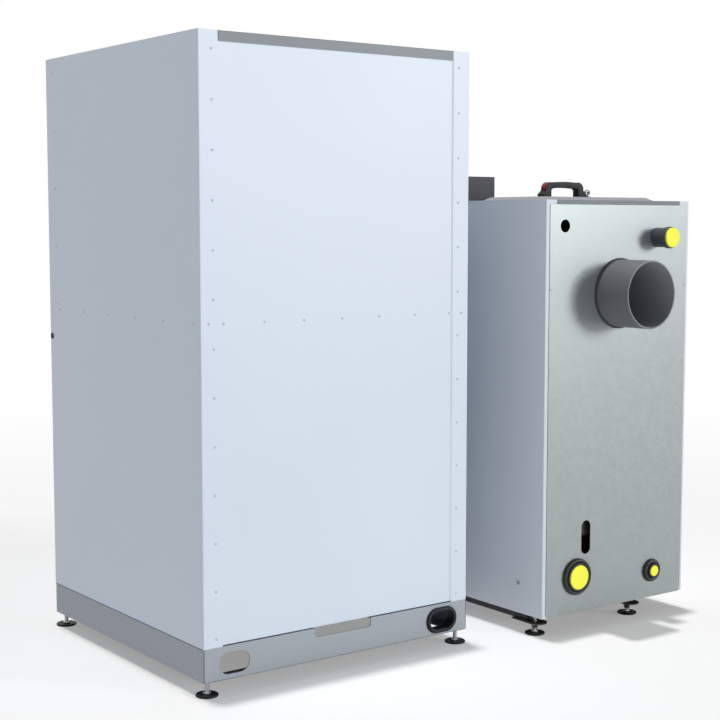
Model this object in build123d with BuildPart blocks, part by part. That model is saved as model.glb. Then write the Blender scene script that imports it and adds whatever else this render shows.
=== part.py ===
from build123d import *
from math import atan2, cos, degrees, radians, sin
import os

# Pellet boiler: a tall pellet hopper cabinet (+X) and a lower boiler cabinet (-X), joined by a feed auger.
# Millimetres, +Z up. The front faces -Y, and the flue and the water stubs leave the back towards +Y.
# The origin is on the floor, at the centre of the rectangle that the whole object covers.

# Hopper cabinet
hopper_width = 700.0
hopper_depth = 707.0
hopper_top = 1350.0
plinth_bottom = 32.0
plinth_height = 71.0
plinth_sheet = 2.5
plinth_flange = 40.0
casing_sheet = 1.5
casing_bend = 3.0
edge_bend = 2.0
side_flange = 46.0
front_return = 50.0
rear_panel_gap = 2.5
seam_gap = 2.0

# Cable ways in the back of the plinth
cable_slot_length = 75.0
cable_slot_height = 47.0
cable_slot_inset = 74.0
cable_slot_level = 34.0
notch_width = 151.0
notch_depth = 20.0
notch_corner = 8.0
sleeve_rim = 6.0
sleeve_wall = 3.0
sleeve_stand_off = 5.0
sleeve_bevel = 2.5
sleeve_depth = 22.0

# Lid, its frame and its hinge
lid_height = 20.0
lid_gap = 2.0
lid_lip_length = 220.0
lid_lip_depth = 14.0
lid_lip_rise = 6.0
rail_depth = 90.0
fill_margin = 60.0
fill_rear_margin = 45.0
fill_corner = 25.0
collar_height = 12.0
seal_height = 6.2
seal_width = 8.0
lid_pin_radius = 3.0
lid_knuckle_radius = 5.0
lid_knuckle_length = 30.0
lid_hinge_offset = 200.0
running_clearance = 0.05
hinge_back_gap = 6.5
hinge_front_gap = 6.0

# Funnel, feed tube and auger
funnel_rim_bottom = 752.0
funnel_rim_height = 30.0
funnel_sheet = 2.0
outlet_length = 130.0
outlet_width = 80.0
auger_level = 400.0
auger_from_front = 353.5
tube_radius = 44.5
tube_wall = 3.0
inlet_height = 52.0
flight_clearance = 2.0
flight_pitch = 80.0
flight_thickness = 4.0
auger_shaft_radius = 11.0
tube_past_inlet = 40.0
tube_hole_clearance = 3.0
tube_flange_radius = 62.0
tube_flange_thickness = 6.0
gearbox_size = 96.0
gearbox_length = 70.0
motor_radius = 42.0
motor_length = 110.0
motor_core_radius = 36.0
motor_fins = 10
motor_fin_width = 8.0
motor_cap_length = 20.0

# Boiler cabinet
boiler_width = 480.0
boiler_depth = 794.0
boiler_top = 1023.0
boiler_skirt = 46.6
module_gap = 159.0
boiler_fold_radius = 8.0
boiler_flange = 34.0
back_sheet = 1.5
back_inset = 5.0
back_corner = 10.0
strip_height = 10.0
strip_gap = 0.5
door_thickness = 40.0
door_gap = 5.0
frame_sheet = 2.0
base_bottom = 31.0
base_top = 62.0
base_sheet = 2.5
base_inset = 7.0
base_from_rear = 60.0

# Flue and water connections on the boiler's back
flue_level = 803.0
flue_bore_radius = 76.0
flue_wall = 4.0
flue_projection = 102.0
flue_stop = 2.0
flue_gasket_width = 4.0
flue_gasket_thickness = 4.0
flue_hole_clearance = 1.0
flue_flange_width = 12.0
flue_flange_thickness = 5.0
supply_offset = 127.0
supply_level = 935.0
supply_neck_radius = 21.0
supply_collar_radius = 26.0
supply_collar_start = 18.0
supply_projection = 50.0
supply_plug_radius = 23.5
return_offset = 131.0
return_level = 134.0
return_radius = 34.5
return_projection = 10.5
return_plug_radius = 29.0
drain_offset = 125.4
drain_level = 114.0
drain_radius = 17.5
drain_projection = 12.0
drain_plug_radius = 13.2
plug_length = 22.0
plug_stand_out = 1.5
stub_wall = 3.0
return_rosette_radius = 44.0
drain_rosette_radius = 28.5
rosette_thickness = 9.0
rosette_round = 6.0
rosette_crown = 2.5
stub_hole_clearance = 1.5
stub_chamfer = 1.0
cable_hole_radius = 15.0
cable_hole_offset = 59.0
cable_hole_level = 963.0
back_slot_offset = 139.0
back_slot_level = 225.3
back_slot_length = 81.0
back_slot_width = 30.0

# Vessel, firebox and heat exchanger
vessel_half_width = 190.0
vessel_top = 955.0
vessel_wall = 4.0
rear_bay = 95.0
firebox_half_width = 150.0
firebox_wall = 5.0
firebox_floor = 80.0
firebox_roof = 480.0
firebox_back_gap = 15.0
hearth_level = 240.0
hearth_thickness = 8.0
ash_throat_width = 48.0
ash_throat_length = 200.0
chamber_floor = 700.0
chamber_depth = 148.0
chamber_wall = 4.0
tube_pitch = 92.0
fire_tube_radius = 38.0
fire_tube_wall = 3.0
fire_tube_count = 3

# Burner pot and combustion air blower
pot_radius = 75.0
pot_foot_radius = 58.0
pot_height = 100.0
pot_wall = 8.0
pot_air_slots = 6
pot_slot_width = 8.0
pot_slot_height = 26.0
blower_level = 260.0
blower_offset = 90.0
blower_radius = 66.0
blower_depth = 48.0
blower_wall = 3.0
wheel_radius = 54.0
wheel_width = 32.0
wheel_blades = 10
wheel_blade_thickness = 3.0
wheel_hub_radius = 12.0
blower_shaft_radius = 4.0
blower_motor_radius = 34.0
blower_motor_length = 34.0
air_pipe_radius = 20.0
air_pipe_wall = 2.0

# Door, drawer and control housing
drawer_front_bottom = 50.0
drawer_front_top = 214.0
door_bottom = 221.0
door_top = 951.0
door_sheet = 2.0
door_side_gap = 1.0
door_edge_radius = 3.0
door_pin_radius = 4.0
door_pin_inset = 14.0
door_pin_reach = 20.0
hinge_block_size = 26.0
hinge_block_height = 24.0
lug_thickness = 4.0
lug_width = 22.0
lug_gap = 1.0
mouth_half_width = 145.0
door_mouth_bottom = 244.0
door_mouth_top = 475.0
drawer_mouth_bottom = 84.0
drawer_mouth_top = 212.0
liner_plate = 3.0
liner_depth = 22.0
liner_clearance = 7.0
door_seal_width = 9.0
door_seal_thickness = 4.6
drawer_sheet = 2.0
drawer_clearance = 6.0
drawer_lift = 1.0
drawer_length = 480.0
drawer_height = 118.0
drawer_lip = 16.0
control_bottom = 957.0
control_top = 1100.0
control_depth = 84.0
control_slope = 34.0
control_slope_start = 28.0
control_inset = 5.0
control_bevel = 8.0
control_clearance = 3.0
display_length = 150.0
display_height = 84.0
display_thickness = 2.0
switch_length = 30.0
switch_width = 22.0
switch_clearance = 0.8
switch_pocket_depth = 12.0
switch_pivot_depth = 6.0
switch_radius = 26.0
switch_tilt = 8.0
switch_inset = 45.0

# Cleaning cover on the boiler's top
cover_length = 396.0
cover_width = 196.0
cover_from_rear = 174.0
cover_height = 9.0
cover_slope_x = 18.0
cover_slope_y = 12.0
cover_plug_clearance = 5.0
cover_plug_reach = 20.0
handle_from_rear = 199.0
ring_nut_offset = 85.0
ring_nut_radius = 10.0
ring_nut_wire = 3.2
ring_nut_base_radius = 9.0
ring_nut_base_height = 4.5
ring_nut_sides = 6

# Bow handles: one lies on the cleaning cover, one stands on the door
handle_length = 126.0
handle_height = 39.0
handle_width = 20.0
handle_grip = 13.0
handle_leg = 17.0
handle_corner = 14.0
handle_foot_reach = 11.0
handle_foot_height = 8.0
handle_foot_slope = 10.0
handle_cap_thickness = 1.5
handle_cap_length = 16.0
handle_cap_height = 17.0
door_handle_length = 160.0
door_handle_inset = 45.0

# Levelling feet
foot_radius = 24.0
foot_inset = 18.0
foot_rim = 5.0
foot_hex_flats = 15.0
foot_hex_height = 4.0
stud_radius = 5.0
stud_top = 56.0
stud_hole_clearance = 0.8
nut_across_flats = 17.0
nut_height = 7.0
bush_height = 14.0
bush_collar = 1.5
bush_radius = 11.0
bush_taper = 4.5
bracket_thickness = 3.0
bracket_width = 44.0
bracket_length = 90.0
bracket_reach = 32.0
boiler_foot_inset = 21.0
boiler_far_foot = 333.0
boiler_foot_from_rear = 47.0

# Rivets and small fasteners
rivet_radius = 2.8
rivet_crown_radius = 1.6
rivet_height = 0.9
rivet_sides = 6
rivet_columns_inset = 31.0
rivet_first = 120.0
rivet_pitch = 99.4
rivet_count = 13
mid_row_level = 767.0
mid_row_pitch = 98.3
mid_row_count = 7
mid_row_end = 20.0
side_row_first = 27.0
side_row_pitch = 125.5
side_row_count = 6
side_column_inset = 39.0
side_column_first = 782.5
side_column_pitch = 133.2
side_column_count = 5
plinth_screw_insets = (9.0, 32.0)
plinth_screw_levels = (40.0, 91.5)
side_plug_radius = 7.0
side_plug_inset = 9.0
side_plug_level = 702.7
back_rivet_inset = 15.5
back_rivet_first = 66.8
back_rivet_pitch = 187.6
back_rivet_count = 5
side_notch_length = 66.0
side_notch_depth = 6.0
side_notch_slope = 8.0
side_screw_radius = 6.0
side_screw_from_rear = 84.0
side_screw_level = 119.0
side_screw_length = 12.0
side_screw_core = 2.5

# The floor rectangle and the places that follow from it
foot_overhang = foot_radius - foot_inset
total_width = boiler_width + module_gap + hopper_width + foot_overhang
total_depth = handle_height + boiler_depth + flue_projection
boiler_left = -total_width / 2
boiler_right = boiler_left + boiler_width
boiler_middle = (boiler_left + boiler_right) / 2
hopper_left = boiler_right + module_gap
hopper_right = hopper_left + hopper_width
hopper_middle = (hopper_left + hopper_right) / 2
front = -total_depth / 2 + handle_height
hopper_rear = front + hopper_depth
boiler_rear = front + boiler_depth
plinth_top = plinth_bottom + plinth_height
auger_y = front + auger_from_front
vessel_front = front + door_thickness + door_gap + frame_sheet
vessel_rear = boiler_rear - rear_bay

os.makedirs("parts", exist_ok=True)


def block(x_span, y_span, z_span, mode=Mode.ADD):
    """Adds an upright block between two limits along each axis."""
    spans = (x_span, y_span, z_span)
    centre = [(low + high) / 2 for low, high in spans]
    size = [high - low for low, high in spans]
    with Locations(tuple(centre)):
        Box(*size, mode=mode)


def sheet_profile(points, thickness, bend, side):
    """Draws the section of a folded sheet: its outer line with round bends, thickened inwards."""
    with BuildLine() as outline:
        FilletPolyline(*points, radius=bend)
        offset(amount=thickness, side=side)
    make_face(outline.edges())


# Plinth of the hopper: four rails of folded steel with flanges at the top and the bottom
foot_spots = [
    (hopper_middle + sx * (hopper_width / 2 - foot_inset), front + hopper_depth / 2 + sy * (hopper_depth / 2 - foot_inset))
    for sx in (-1, 1)
    for sy in (-1, 1)
]
slot_spots = [hopper_left + cable_slot_inset, hopper_right - cable_slot_inset]
slot_level = plinth_bottom + cable_slot_level
with BuildPart() as hopper_plinth:
    with BuildSketch(Plane.XY.offset(plinth_bottom)):
        with Locations((hopper_middle, front + hopper_depth / 2)):
            Rectangle(hopper_width, hopper_depth)
    extrude(amount=plinth_height)
    fillet(hopper_plinth.edges().filter_by(Axis.Z), radius=casing_bend)
    with BuildSketch(Plane.XY.offset(plinth_bottom + plinth_sheet)):
        with Locations((hopper_middle, front + hopper_depth / 2)):
            Rectangle(hopper_width - 2 * plinth_sheet, hopper_depth - 2 * plinth_sheet)
    extrude(amount=plinth_height - 2 * plinth_sheet, mode=Mode.SUBTRACT)
    with BuildSketch(Plane.XY.offset(plinth_bottom)):
        with Locations((hopper_middle, front + hopper_depth / 2)):
            Rectangle(hopper_width - 2 * plinth_flange, hopper_depth - 2 * plinth_flange)
    extrude(amount=plinth_height, mode=Mode.SUBTRACT)
    with BuildSketch(Plane.XZ.offset(-hopper_rear)):
        with Locations(*[(x, slot_level) for x in slot_spots]):
            SlotOverall(cable_slot_length, cable_slot_height)
    extrude(amount=plinth_sheet, mode=Mode.SUBTRACT)
    with BuildSketch(Plane.XZ.offset(-hopper_rear)):
        with Locations((hopper_middle, plinth_top)):
            RectangleRounded(notch_width, 2 * notch_depth, notch_corner)
    extrude(amount=plinth_flange, mode=Mode.SUBTRACT)
    with BuildSketch(Plane.XY.offset(plinth_bottom)):
        with Locations(*foot_spots):
            Circle(stud_radius + stud_hole_clearance)
    extrude(amount=plinth_sheet, mode=Mode.SUBTRACT)
hopper_plinth.part.label = "hopper_plinth"
export_step(hopper_plinth.part, "parts/hopper_plinth.step")

# Cable sleeve: a black moulded tube with a round rim, pushed into the left slot of the plinth
with BuildPart() as cable_sleeve:
    with BuildSketch(Plane.XZ.offset(-hopper_rear)):
        with Locations((slot_spots[0], slot_level)):
            SlotOverall(cable_slot_length + 2 * sleeve_rim, cable_slot_height + 2 * sleeve_rim)
    extrude(amount=-sleeve_stand_off)
    chamfer(cable_sleeve.faces().sort_by(Axis.Y)[-1].outer_wire().edges(), length=sleeve_bevel)
    with BuildSketch(Plane.XZ.offset(-hopper_rear)):
        with Locations((slot_spots[0], slot_level)):
            SlotOverall(cable_slot_length - 0.2, cable_slot_height - 0.2)
    extrude(amount=sleeve_depth)
    with BuildSketch(Plane.XZ.offset(-hopper_rear - sleeve_stand_off)):
        with Locations((slot_spots[0], slot_level)):
            SlotOverall(cable_slot_length - 2 * sleeve_wall, cable_slot_height - 2 * sleeve_wall)
    extrude(amount=sleeve_stand_off + sleeve_depth, mode=Mode.SUBTRACT)
cable_sleeve.part.label = "cable_sleeve"
export_step(cable_sleeve.part, "parts/cable_sleeve.step")


def hopper_side(outer_x, inward, tube_hole):
    """A side panel: one sheet folded round the rear corner, standing on the plinth."""
    turn = Side.RIGHT if inward < 0 else Side.LEFT
    with BuildPart() as panel:
        with BuildSketch(Plane.XY.offset(plinth_top)):
            sheet_profile(
                [(outer_x + inward * side_flange, hopper_rear), (outer_x, hopper_rear), (outer_x, front)],
                casing_sheet,
                casing_bend,
                turn,
            )
        extrude(amount=hopper_top - plinth_top)
        if tube_hole:
            with BuildSketch(Plane.YZ.offset(outer_x)):
                with Locations((auger_y, auger_level)):
                    Circle(tube_radius + tube_hole_clearance)
            extrude(amount=inward * casing_sheet, mode=Mode.SUBTRACT)
    return panel


hopper_side_right = hopper_side(hopper_right, -1, False)
hopper_side_right.part.label = "hopper_side_right"
export_step(hopper_side_right.part, "parts/hopper_side_right.step")

hopper_side_left = hopper_side(hopper_left, 1, True)
hopper_side_left.part.label = "hopper_side_left"
export_step(hopper_side_left.part, "parts/hopper_side_left.step")

# Rear panel: a flat sheet behind the side panels' flanges, with a shadow gap above the plinth
with BuildPart() as hopper_rear_panel:
    block(
        (hopper_left + casing_bend, hopper_right - casing_bend),
        (hopper_rear - 2 * casing_sheet, hopper_rear - casing_sheet),
        (plinth_top + rear_panel_gap, hopper_top - edge_bend),
    )
hopper_rear_panel.part.label = "hopper_rear_panel"
export_step(hopper_rear_panel.part, "parts/hopper_rear_panel.step")

# Front panel: a pan whose returns lie inside the side panels, under the lid's frame
deck_top = hopper_top - lid_height
with BuildPart() as hopper_front_panel:
    with BuildSketch(Plane.XY.offset(plinth_top)):
        sheet_profile(
            [
                (hopper_left + casing_sheet, front + front_return),
                (hopper_left + casing_sheet, front),
                (hopper_right - casing_sheet, front),
                (hopper_right - casing_sheet, front + front_return),
            ],
            casing_sheet,
            casing_bend,
            Side.LEFT,
        )
    extrude(amount=deck_top - casing_sheet - plinth_top)
hopper_front_panel.part.label = "hopper_front_panel"
export_step(hopper_front_panel.part, "parts/hopper_front_panel.step")

# Top frame: one grey sheet folded into a deck, a raised rail for the hinge and the strip that shows at the back
rail_front = hopper_rear - rail_depth
fill_x = (hopper_left + fill_margin, hopper_right - fill_margin)
fill_y = (front + fill_margin, rail_front - fill_rear_margin)
fill_centre = ((fill_x[0] + fill_x[1]) / 2, (fill_y[0] + fill_y[1]) / 2)
fill_size = (fill_x[1] - fill_x[0], fill_y[1] - fill_y[0])
hinge_axis_y = rail_front - hinge_back_gap
hinge_axis_z = hopper_top - lid_knuckle_radius
pin_bore_radius = lid_pin_radius + running_clearance
hinge_stations = [hopper_middle - lid_hinge_offset, hopper_middle + lid_hinge_offset]
with BuildPart() as hopper_top_frame:
    with BuildSketch(Plane.YZ.offset(hopper_left + casing_sheet)):
        sheet_profile(
            [
                (front, deck_top),
                (rail_front, deck_top),
                (rail_front, hopper_top),
                (hopper_rear, hopper_top),
                (hopper_rear, deck_top - casing_sheet),
            ],
            casing_sheet,
            edge_bend,
            Side.RIGHT,
        )
    extrude(amount=hopper_width - 2 * casing_sheet)
    strip_half = hopper_width / 2 - side_flange - seam_gap
    for sign in (-1, 1):
        block(
            sorted((hopper_middle + sign * strip_half, hopper_middle + sign * hopper_width / 2)),
            (hopper_rear - casing_bend, hopper_rear),
            (deck_top - casing_sheet, hopper_top),
            Mode.SUBTRACT,
        )
    with BuildSketch(Plane.XY.offset(deck_top - casing_sheet)):
        with Locations(fill_centre):
            RectangleRounded(
                fill_size[0] + 2 * casing_sheet, fill_size[1] + 2 * casing_sheet, fill_corner + casing_sheet
            )
    extrude(amount=casing_sheet + collar_height)
    with BuildSketch(Plane.XY.offset(deck_top - casing_sheet)):
        with Locations(fill_centre):
            RectangleRounded(fill_size[0], fill_size[1], fill_corner)
    extrude(amount=casing_sheet + collar_height, mode=Mode.SUBTRACT)
    for station in hinge_stations:
        for sign in (-1, 1):
            near = station + sign * (lid_knuckle_length / 2 + lid_gap / 2)
            far = station + sign * (lid_knuckle_length + lid_gap / 2)
            span = tuple(sorted((near, far)))
            with BuildSketch(Plane.YZ.offset(span[0])):
                with Locations((hinge_axis_y, hinge_axis_z)):
                    Circle(lid_knuckle_radius)
                with Locations((hinge_axis_y + hinge_back_gap / 2, hinge_axis_z - lid_knuckle_radius / 2)):
                    Rectangle(hinge_back_gap, lid_knuckle_radius)
                with Locations((hinge_axis_y, hinge_axis_z)):
                    Circle(pin_bore_radius, mode=Mode.SUBTRACT)
            extrude(amount=span[1] - span[0])
hopper_top_frame.part.label = "hopper_top_frame"
export_step(hopper_top_frame.part, "parts/hopper_top_frame.step")

# Lid seal: a rubber trim on the collar's edge
seal_low = deck_top + collar_height
with BuildPart() as lid_seal:
    with BuildSketch(Plane.XY.offset(seal_low)):
        with Locations(fill_centre):
            RectangleRounded(fill_size[0] + seal_width, fill_size[1] + seal_width, fill_corner + seal_width / 2)
            RectangleRounded(
                fill_size[0] - seal_width / 2, fill_size[1] - seal_width / 2, fill_corner, mode=Mode.SUBTRACT
            )
    extrude(amount=seal_height)
lid_seal.part.label = "lid_seal"
export_step(lid_seal.part, "parts/lid_seal.step")

# Lid: a shallow pan with a grip lip at the front and a knuckle at each hinge station
lid_x = (hopper_left + casing_sheet + lid_gap, hopper_right - casing_sheet - lid_gap)
lid_y = (front, hinge_axis_y - hinge_front_gap)
skirt_low = deck_top + casing_sheet
with BuildPart() as hopper_lid:
    block(lid_x, lid_y, (skirt_low, hopper_top))
    fillet(hopper_lid.edges().filter_by(Axis.Z), radius=casing_bend)
    chamfer(hopper_lid.faces().sort_by(Axis.Z)[-1].edges(), length=casing_sheet / 2)
    block(
        (lid_x[0] + casing_sheet, lid_x[1] - casing_sheet),
        (lid_y[0] + casing_sheet, lid_y[1] - casing_sheet),
        (skirt_low, hopper_top - casing_sheet),
        Mode.SUBTRACT,
    )
    with BuildSketch(Plane.YZ.offset(hopper_middle - lid_lip_length / 2)):
        sheet_profile(
            [
                (front + casing_sheet, skirt_low),
                (front - lid_lip_depth, skirt_low),
                (front - lid_lip_depth, skirt_low + lid_lip_rise),
            ],
            casing_sheet,
            edge_bend,
            Side.RIGHT,
        )
    extrude(amount=lid_lip_length)
    for station in hinge_stations:
        with BuildSketch(Plane.YZ.offset(station - lid_knuckle_length / 2)):
            with Locations((hinge_axis_y, hinge_axis_z)):
                Circle(lid_knuckle_radius)
            with Locations((hinge_axis_y - hinge_front_gap / 2, hinge_axis_z - lid_knuckle_radius / 2)):
                Rectangle(hinge_front_gap, lid_knuckle_radius)
            with Locations((hinge_axis_y, hinge_axis_z)):
                Circle(pin_bore_radius, mode=Mode.SUBTRACT)
        extrude(amount=lid_knuckle_length)
hopper_lid.part.label = "hopper_lid"
export_step(hopper_lid.part, "parts/hopper_lid.step")

# Funnel: a four-sided sheet hopper riveted to the casing at half height
funnel_x = (hopper_left + 2 * casing_sheet, hopper_right - 2 * casing_sheet)
funnel_y = (front + casing_sheet, hopper_rear - 2 * casing_sheet)
funnel_centre = ((funnel_x[0] + funnel_x[1]) / 2, (funnel_y[0] + funnel_y[1]) / 2)
funnel_size = (funnel_x[1] - funnel_x[0], funnel_y[1] - funnel_y[0])
outlet_top = auger_level + inlet_height
with BuildPart() as hopper_funnel:
    for shrink, mode in ((0.0, Mode.ADD), (funnel_sheet, Mode.SUBTRACT)):
        with BuildSketch(Plane.XY.offset(funnel_rim_bottom)):
            with Locations(funnel_centre):
                Rectangle(funnel_size[0] - 2 * shrink, funnel_size[1] - 2 * shrink)
        with BuildSketch(Plane.XY.offset(outlet_top)):
            with Locations((hopper_middle, auger_y)):
                Rectangle(outlet_length + 2 * (funnel_sheet - shrink), outlet_width + 2 * (funnel_sheet - shrink))
        loft(mode=mode)
        with BuildSketch(Plane.XY.offset(funnel_rim_bottom)):
            with Locations(funnel_centre):
                Rectangle(funnel_size[0] - 2 * shrink, funnel_size[1] - 2 * shrink)
        extrude(amount=funnel_rim_height, mode=mode)
    corner_relief = casing_bend - casing_sheet + 0.1
    for near, inward in ((funnel_x[0], 1), (funnel_x[1], -1)):
        block(
            sorted((near, near + inward * corner_relief)),
            (funnel_y[0], funnel_y[0] + corner_relief),
            (funnel_rim_bottom - 2 * corner_relief, funnel_rim_bottom + funnel_rim_height),
            Mode.SUBTRACT,
        )
hopper_funnel.part.label = "hopper_funnel"
export_step(hopper_funnel.part, "parts/hopper_funnel.step")

# Feed tube: carries pellets from the funnel into the firebox, with an inlet box welded on its top
tube_start = boiler_middle + pot_radius - tube_past_inlet / 2
tube_end = hopper_middle + outlet_length / 2 + tube_past_inlet
with BuildPart() as feed_tube:
    with BuildSketch(Plane.YZ.offset(tube_start)):
        with Locations((auger_y, auger_level)):
            Circle(tube_radius)
    extrude(amount=tube_end - tube_start)
    block(
        (hopper_middle - outlet_length / 2 - funnel_sheet, hopper_middle + outlet_length / 2 + funnel_sheet),
        (auger_y - outlet_width / 2 - funnel_sheet, auger_y + outlet_width / 2 + funnel_sheet),
        (auger_level, outlet_top),
    )
    with BuildSketch(Plane.YZ.offset(tube_end)):
        with Locations((auger_y, auger_level)):
            Circle(tube_flange_radius)
    extrude(amount=tube_flange_thickness)
    block(
        (hopper_middle - outlet_length / 2, hopper_middle + outlet_length / 2),
        (auger_y - outlet_width / 2, auger_y + outlet_width / 2),
        (auger_level, outlet_top),
        Mode.SUBTRACT,
    )
    with BuildSketch(Plane.YZ.offset(tube_start)):
        with Locations((auger_y, auger_level)):
            Circle(tube_radius - tube_wall)
    extrude(amount=tube_end - tube_start, mode=Mode.SUBTRACT)
    with BuildSketch(Plane.YZ.offset(tube_end)):
        with Locations((auger_y, auger_level)):
            Circle(auger_shaft_radius + running_clearance)
    extrude(amount=tube_flange_thickness, mode=Mode.SUBTRACT)
feed_tube.part.label = "feed_tube"
export_step(feed_tube.part, "parts/feed_tube.step")

# Feed auger: a helical flight welded on a round shaft that the gear motor turns
flight_radius = tube_radius - tube_wall - flight_clearance
flight_root = auger_shaft_radius - 1.0
flight_length = tube_end - tube_start - flight_clearance - flight_thickness
flight_depth = flight_radius - flight_root
with BuildPart() as feed_auger:
    with BuildLine() as flight_line:
        Helix(
            pitch=flight_pitch,
            height=flight_length,
            radius=flight_root + flight_depth / 2,
            center=(tube_start + flight_thickness / 2, auger_y, auger_level),
            direction=(1, 0, 0),
        )
    flight_path = flight_line.wire()
    flight_start = flight_path @ 0
    outwards = Vector(0, flight_start.Y - auger_y, flight_start.Z - auger_level).normalized()
    with BuildSketch(Plane(origin=flight_start, x_dir=outwards, z_dir=flight_path % 0)):
        Rectangle(flight_depth, flight_thickness)
    sweep(path=flight_path, is_frenet=True)
    with BuildSketch(Plane.YZ.offset(tube_start)):
        with Locations((auger_y, auger_level)):
            Circle(auger_shaft_radius)
    extrude(amount=tube_end + tube_flange_thickness + gearbox_length / 2 - tube_start)
feed_auger.part.label = "feed_auger"
export_step(feed_auger.part, "parts/feed_auger.step")

# Gear motor: a square gearbox flanged to the feed tube, with a finned round motor and its fan cap behind it
gearbox_x = tube_end + tube_flange_thickness
with BuildPart() as gear_motor:
    with BuildSketch(Plane.YZ.offset(gearbox_x)):
        with Locations((auger_y, auger_level)):
            RectangleRounded(gearbox_size, gearbox_size, gearbox_size / 8)
    extrude(amount=gearbox_length)
    with BuildSketch(Plane.YZ.offset(gearbox_x + gearbox_length)):
        with Locations((auger_y, auger_level)):
            Circle(motor_core_radius)
            with PolarLocations((motor_radius + motor_core_radius) / 2, motor_fins):
                Rectangle(2 * (motor_radius - motor_core_radius), motor_fin_width)
    extrude(amount=motor_length - motor_cap_length)
    with BuildSketch(Plane.YZ.offset(gearbox_x + gearbox_length + motor_length - motor_cap_length)):
        with Locations((auger_y, auger_level)):
            Circle(motor_radius)
    extrude(amount=motor_cap_length)
    with BuildSketch(Plane.YZ.offset(gearbox_x)):
        with Locations((auger_y, auger_level)):
            Circle(auger_shaft_radius + running_clearance)
    extrude(amount=gearbox_length / 2 + flight_clearance, mode=Mode.SUBTRACT)
gear_motor.part.label = "gear_motor"
export_step(gear_motor.part, "parts/gear_motor.step")

# Base of the boiler: a black inverted tray with skirts and a bracket for each foot
boiler_foot_x = (boiler_right - boiler_foot_inset, boiler_right - boiler_far_foot)
boiler_foot_y = (vessel_front + boiler_foot_from_rear, boiler_rear - boiler_foot_from_rear)
boiler_foot_spots = [(x, y) for x in boiler_foot_x for y in boiler_foot_y]
base_x = (boiler_left + base_inset, boiler_right - base_inset)
base_y = (vessel_front, boiler_rear - base_from_rear)
with BuildPart() as boiler_base:
    block(base_x, base_y, (base_bottom, base_top))
    fillet(boiler_base.edges().filter_by(Axis.Z), radius=casing_bend)
    block(
        (base_x[0] + base_sheet, base_x[1] - base_sheet),
        (base_y[0] + base_sheet, base_y[1] - base_sheet),
        (base_bottom, base_top - base_sheet),
        Mode.SUBTRACT,
    )
    for x in boiler_foot_x:
        for y, away, reach in zip(boiler_foot_y, (-1, 1), (boiler_foot_from_rear, bracket_reach)):
            outer_end = y + away * reach
            round_y = outer_end - away * bracket_width / 2
            with BuildSketch(Plane.XY.offset(base_bottom - bracket_thickness)):
                with Locations((x, round_y)):
                    Circle(bracket_width / 2)
                with Locations((x, round_y - away * (bracket_length - bracket_width / 2) / 2)):
                    Rectangle(bracket_width, bracket_length - bracket_width / 2)
            extrude(amount=bracket_thickness)
    with BuildSketch(Plane.XY.offset(base_bottom - bracket_thickness)):
        with Locations(*boiler_foot_spots):
            Circle(stud_radius + stud_hole_clearance)
    extrude(amount=bracket_thickness, mode=Mode.SUBTRACT)
boiler_base.part.label = "boiler_base"
export_step(boiler_base.part, "parts/boiler_base.step")


def boiler_side(outer_x, inward, tube_hole):
    """A side panel of the boiler: one sheet with a wide round fold into the rear flange."""
    turn = Side.RIGHT if inward < 0 else Side.LEFT
    flange_y = boiler_rear - back_sheet
    outer_plane = Plane.YZ.offset(outer_x)
    with BuildPart() as panel:
        with BuildSketch(Plane.XY.offset(boiler_skirt)):
            sheet_profile(
                [
                    (outer_x + inward * boiler_flange, flange_y),
                    (outer_x, flange_y),
                    (outer_x, front + door_thickness + door_gap),
                ],
                casing_sheet,
                boiler_fold_radius,
                turn,
            )
        extrude(amount=boiler_top - boiler_skirt)
        with BuildSketch(outer_plane):
            with Locations((boiler_rear - side_screw_from_rear, side_screw_level)):
                Circle(side_screw_radius)
            with BuildLine():
                notch_y = front + door_thickness + door_gap
                Polyline(
                    (notch_y, boiler_top),
                    (notch_y, boiler_top - side_notch_depth),
                    (notch_y + side_notch_length - side_notch_slope, boiler_top - side_notch_depth),
                    (notch_y + side_notch_length, boiler_top),
                    close=True,
                )
            make_face()
        extrude(amount=inward * casing_sheet, mode=Mode.SUBTRACT)
        if tube_hole:
            with BuildSketch(outer_plane):
                with Locations((auger_y, auger_level)):
                    Circle(tube_radius + tube_hole_clearance)
            extrude(amount=inward * casing_sheet, mode=Mode.SUBTRACT)
    return panel


boiler_side_right = boiler_side(boiler_right, -1, True)
boiler_side_right.part.label = "boiler_side_right"
export_step(boiler_side_right.part, "parts/boiler_side_right.step")

boiler_side_left = boiler_side(boiler_left, 1, False)
boiler_side_left.part.label = "boiler_side_left"
export_step(boiler_side_left.part, "parts/boiler_side_left.step")

# Rear panel of the boiler: bare galvanised sheet over the side flanges, with its round lower corners
supply_x = boiler_middle - supply_offset
return_x = boiler_middle + return_offset
drain_x = boiler_middle - drain_offset
back_top = boiler_top - strip_height - strip_gap
with BuildPart() as boiler_rear_panel:
    block(
        (boiler_left + back_inset, boiler_right - back_inset),
        (boiler_rear - back_sheet, boiler_rear),
        (boiler_skirt, back_top),
    )
    fillet(boiler_rear_panel.edges().filter_by(Axis.Y).group_by(Axis.Z)[0], radius=back_corner)
    with BuildSketch(Plane.XZ.offset(-boiler_rear)):
        with Locations((boiler_middle, flue_level)):
            Circle(flue_bore_radius + flue_wall + flue_hole_clearance)
        with Locations((supply_x, supply_level)):
            Circle(supply_neck_radius + stub_hole_clearance)
        with Locations((return_x, return_level)):
            Circle(return_radius + stub_hole_clearance)
        with Locations((drain_x, drain_level)):
            Circle(drain_radius + stub_hole_clearance)
        with Locations((boiler_right - cable_hole_offset, cable_hole_level)):
            Circle(cable_hole_radius)
        with Locations((boiler_right - back_slot_offset, back_slot_level)):
            SlotOverall(back_slot_length, back_slot_width, rotation=90)
    extrude(amount=back_sheet, mode=Mode.SUBTRACT)
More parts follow.
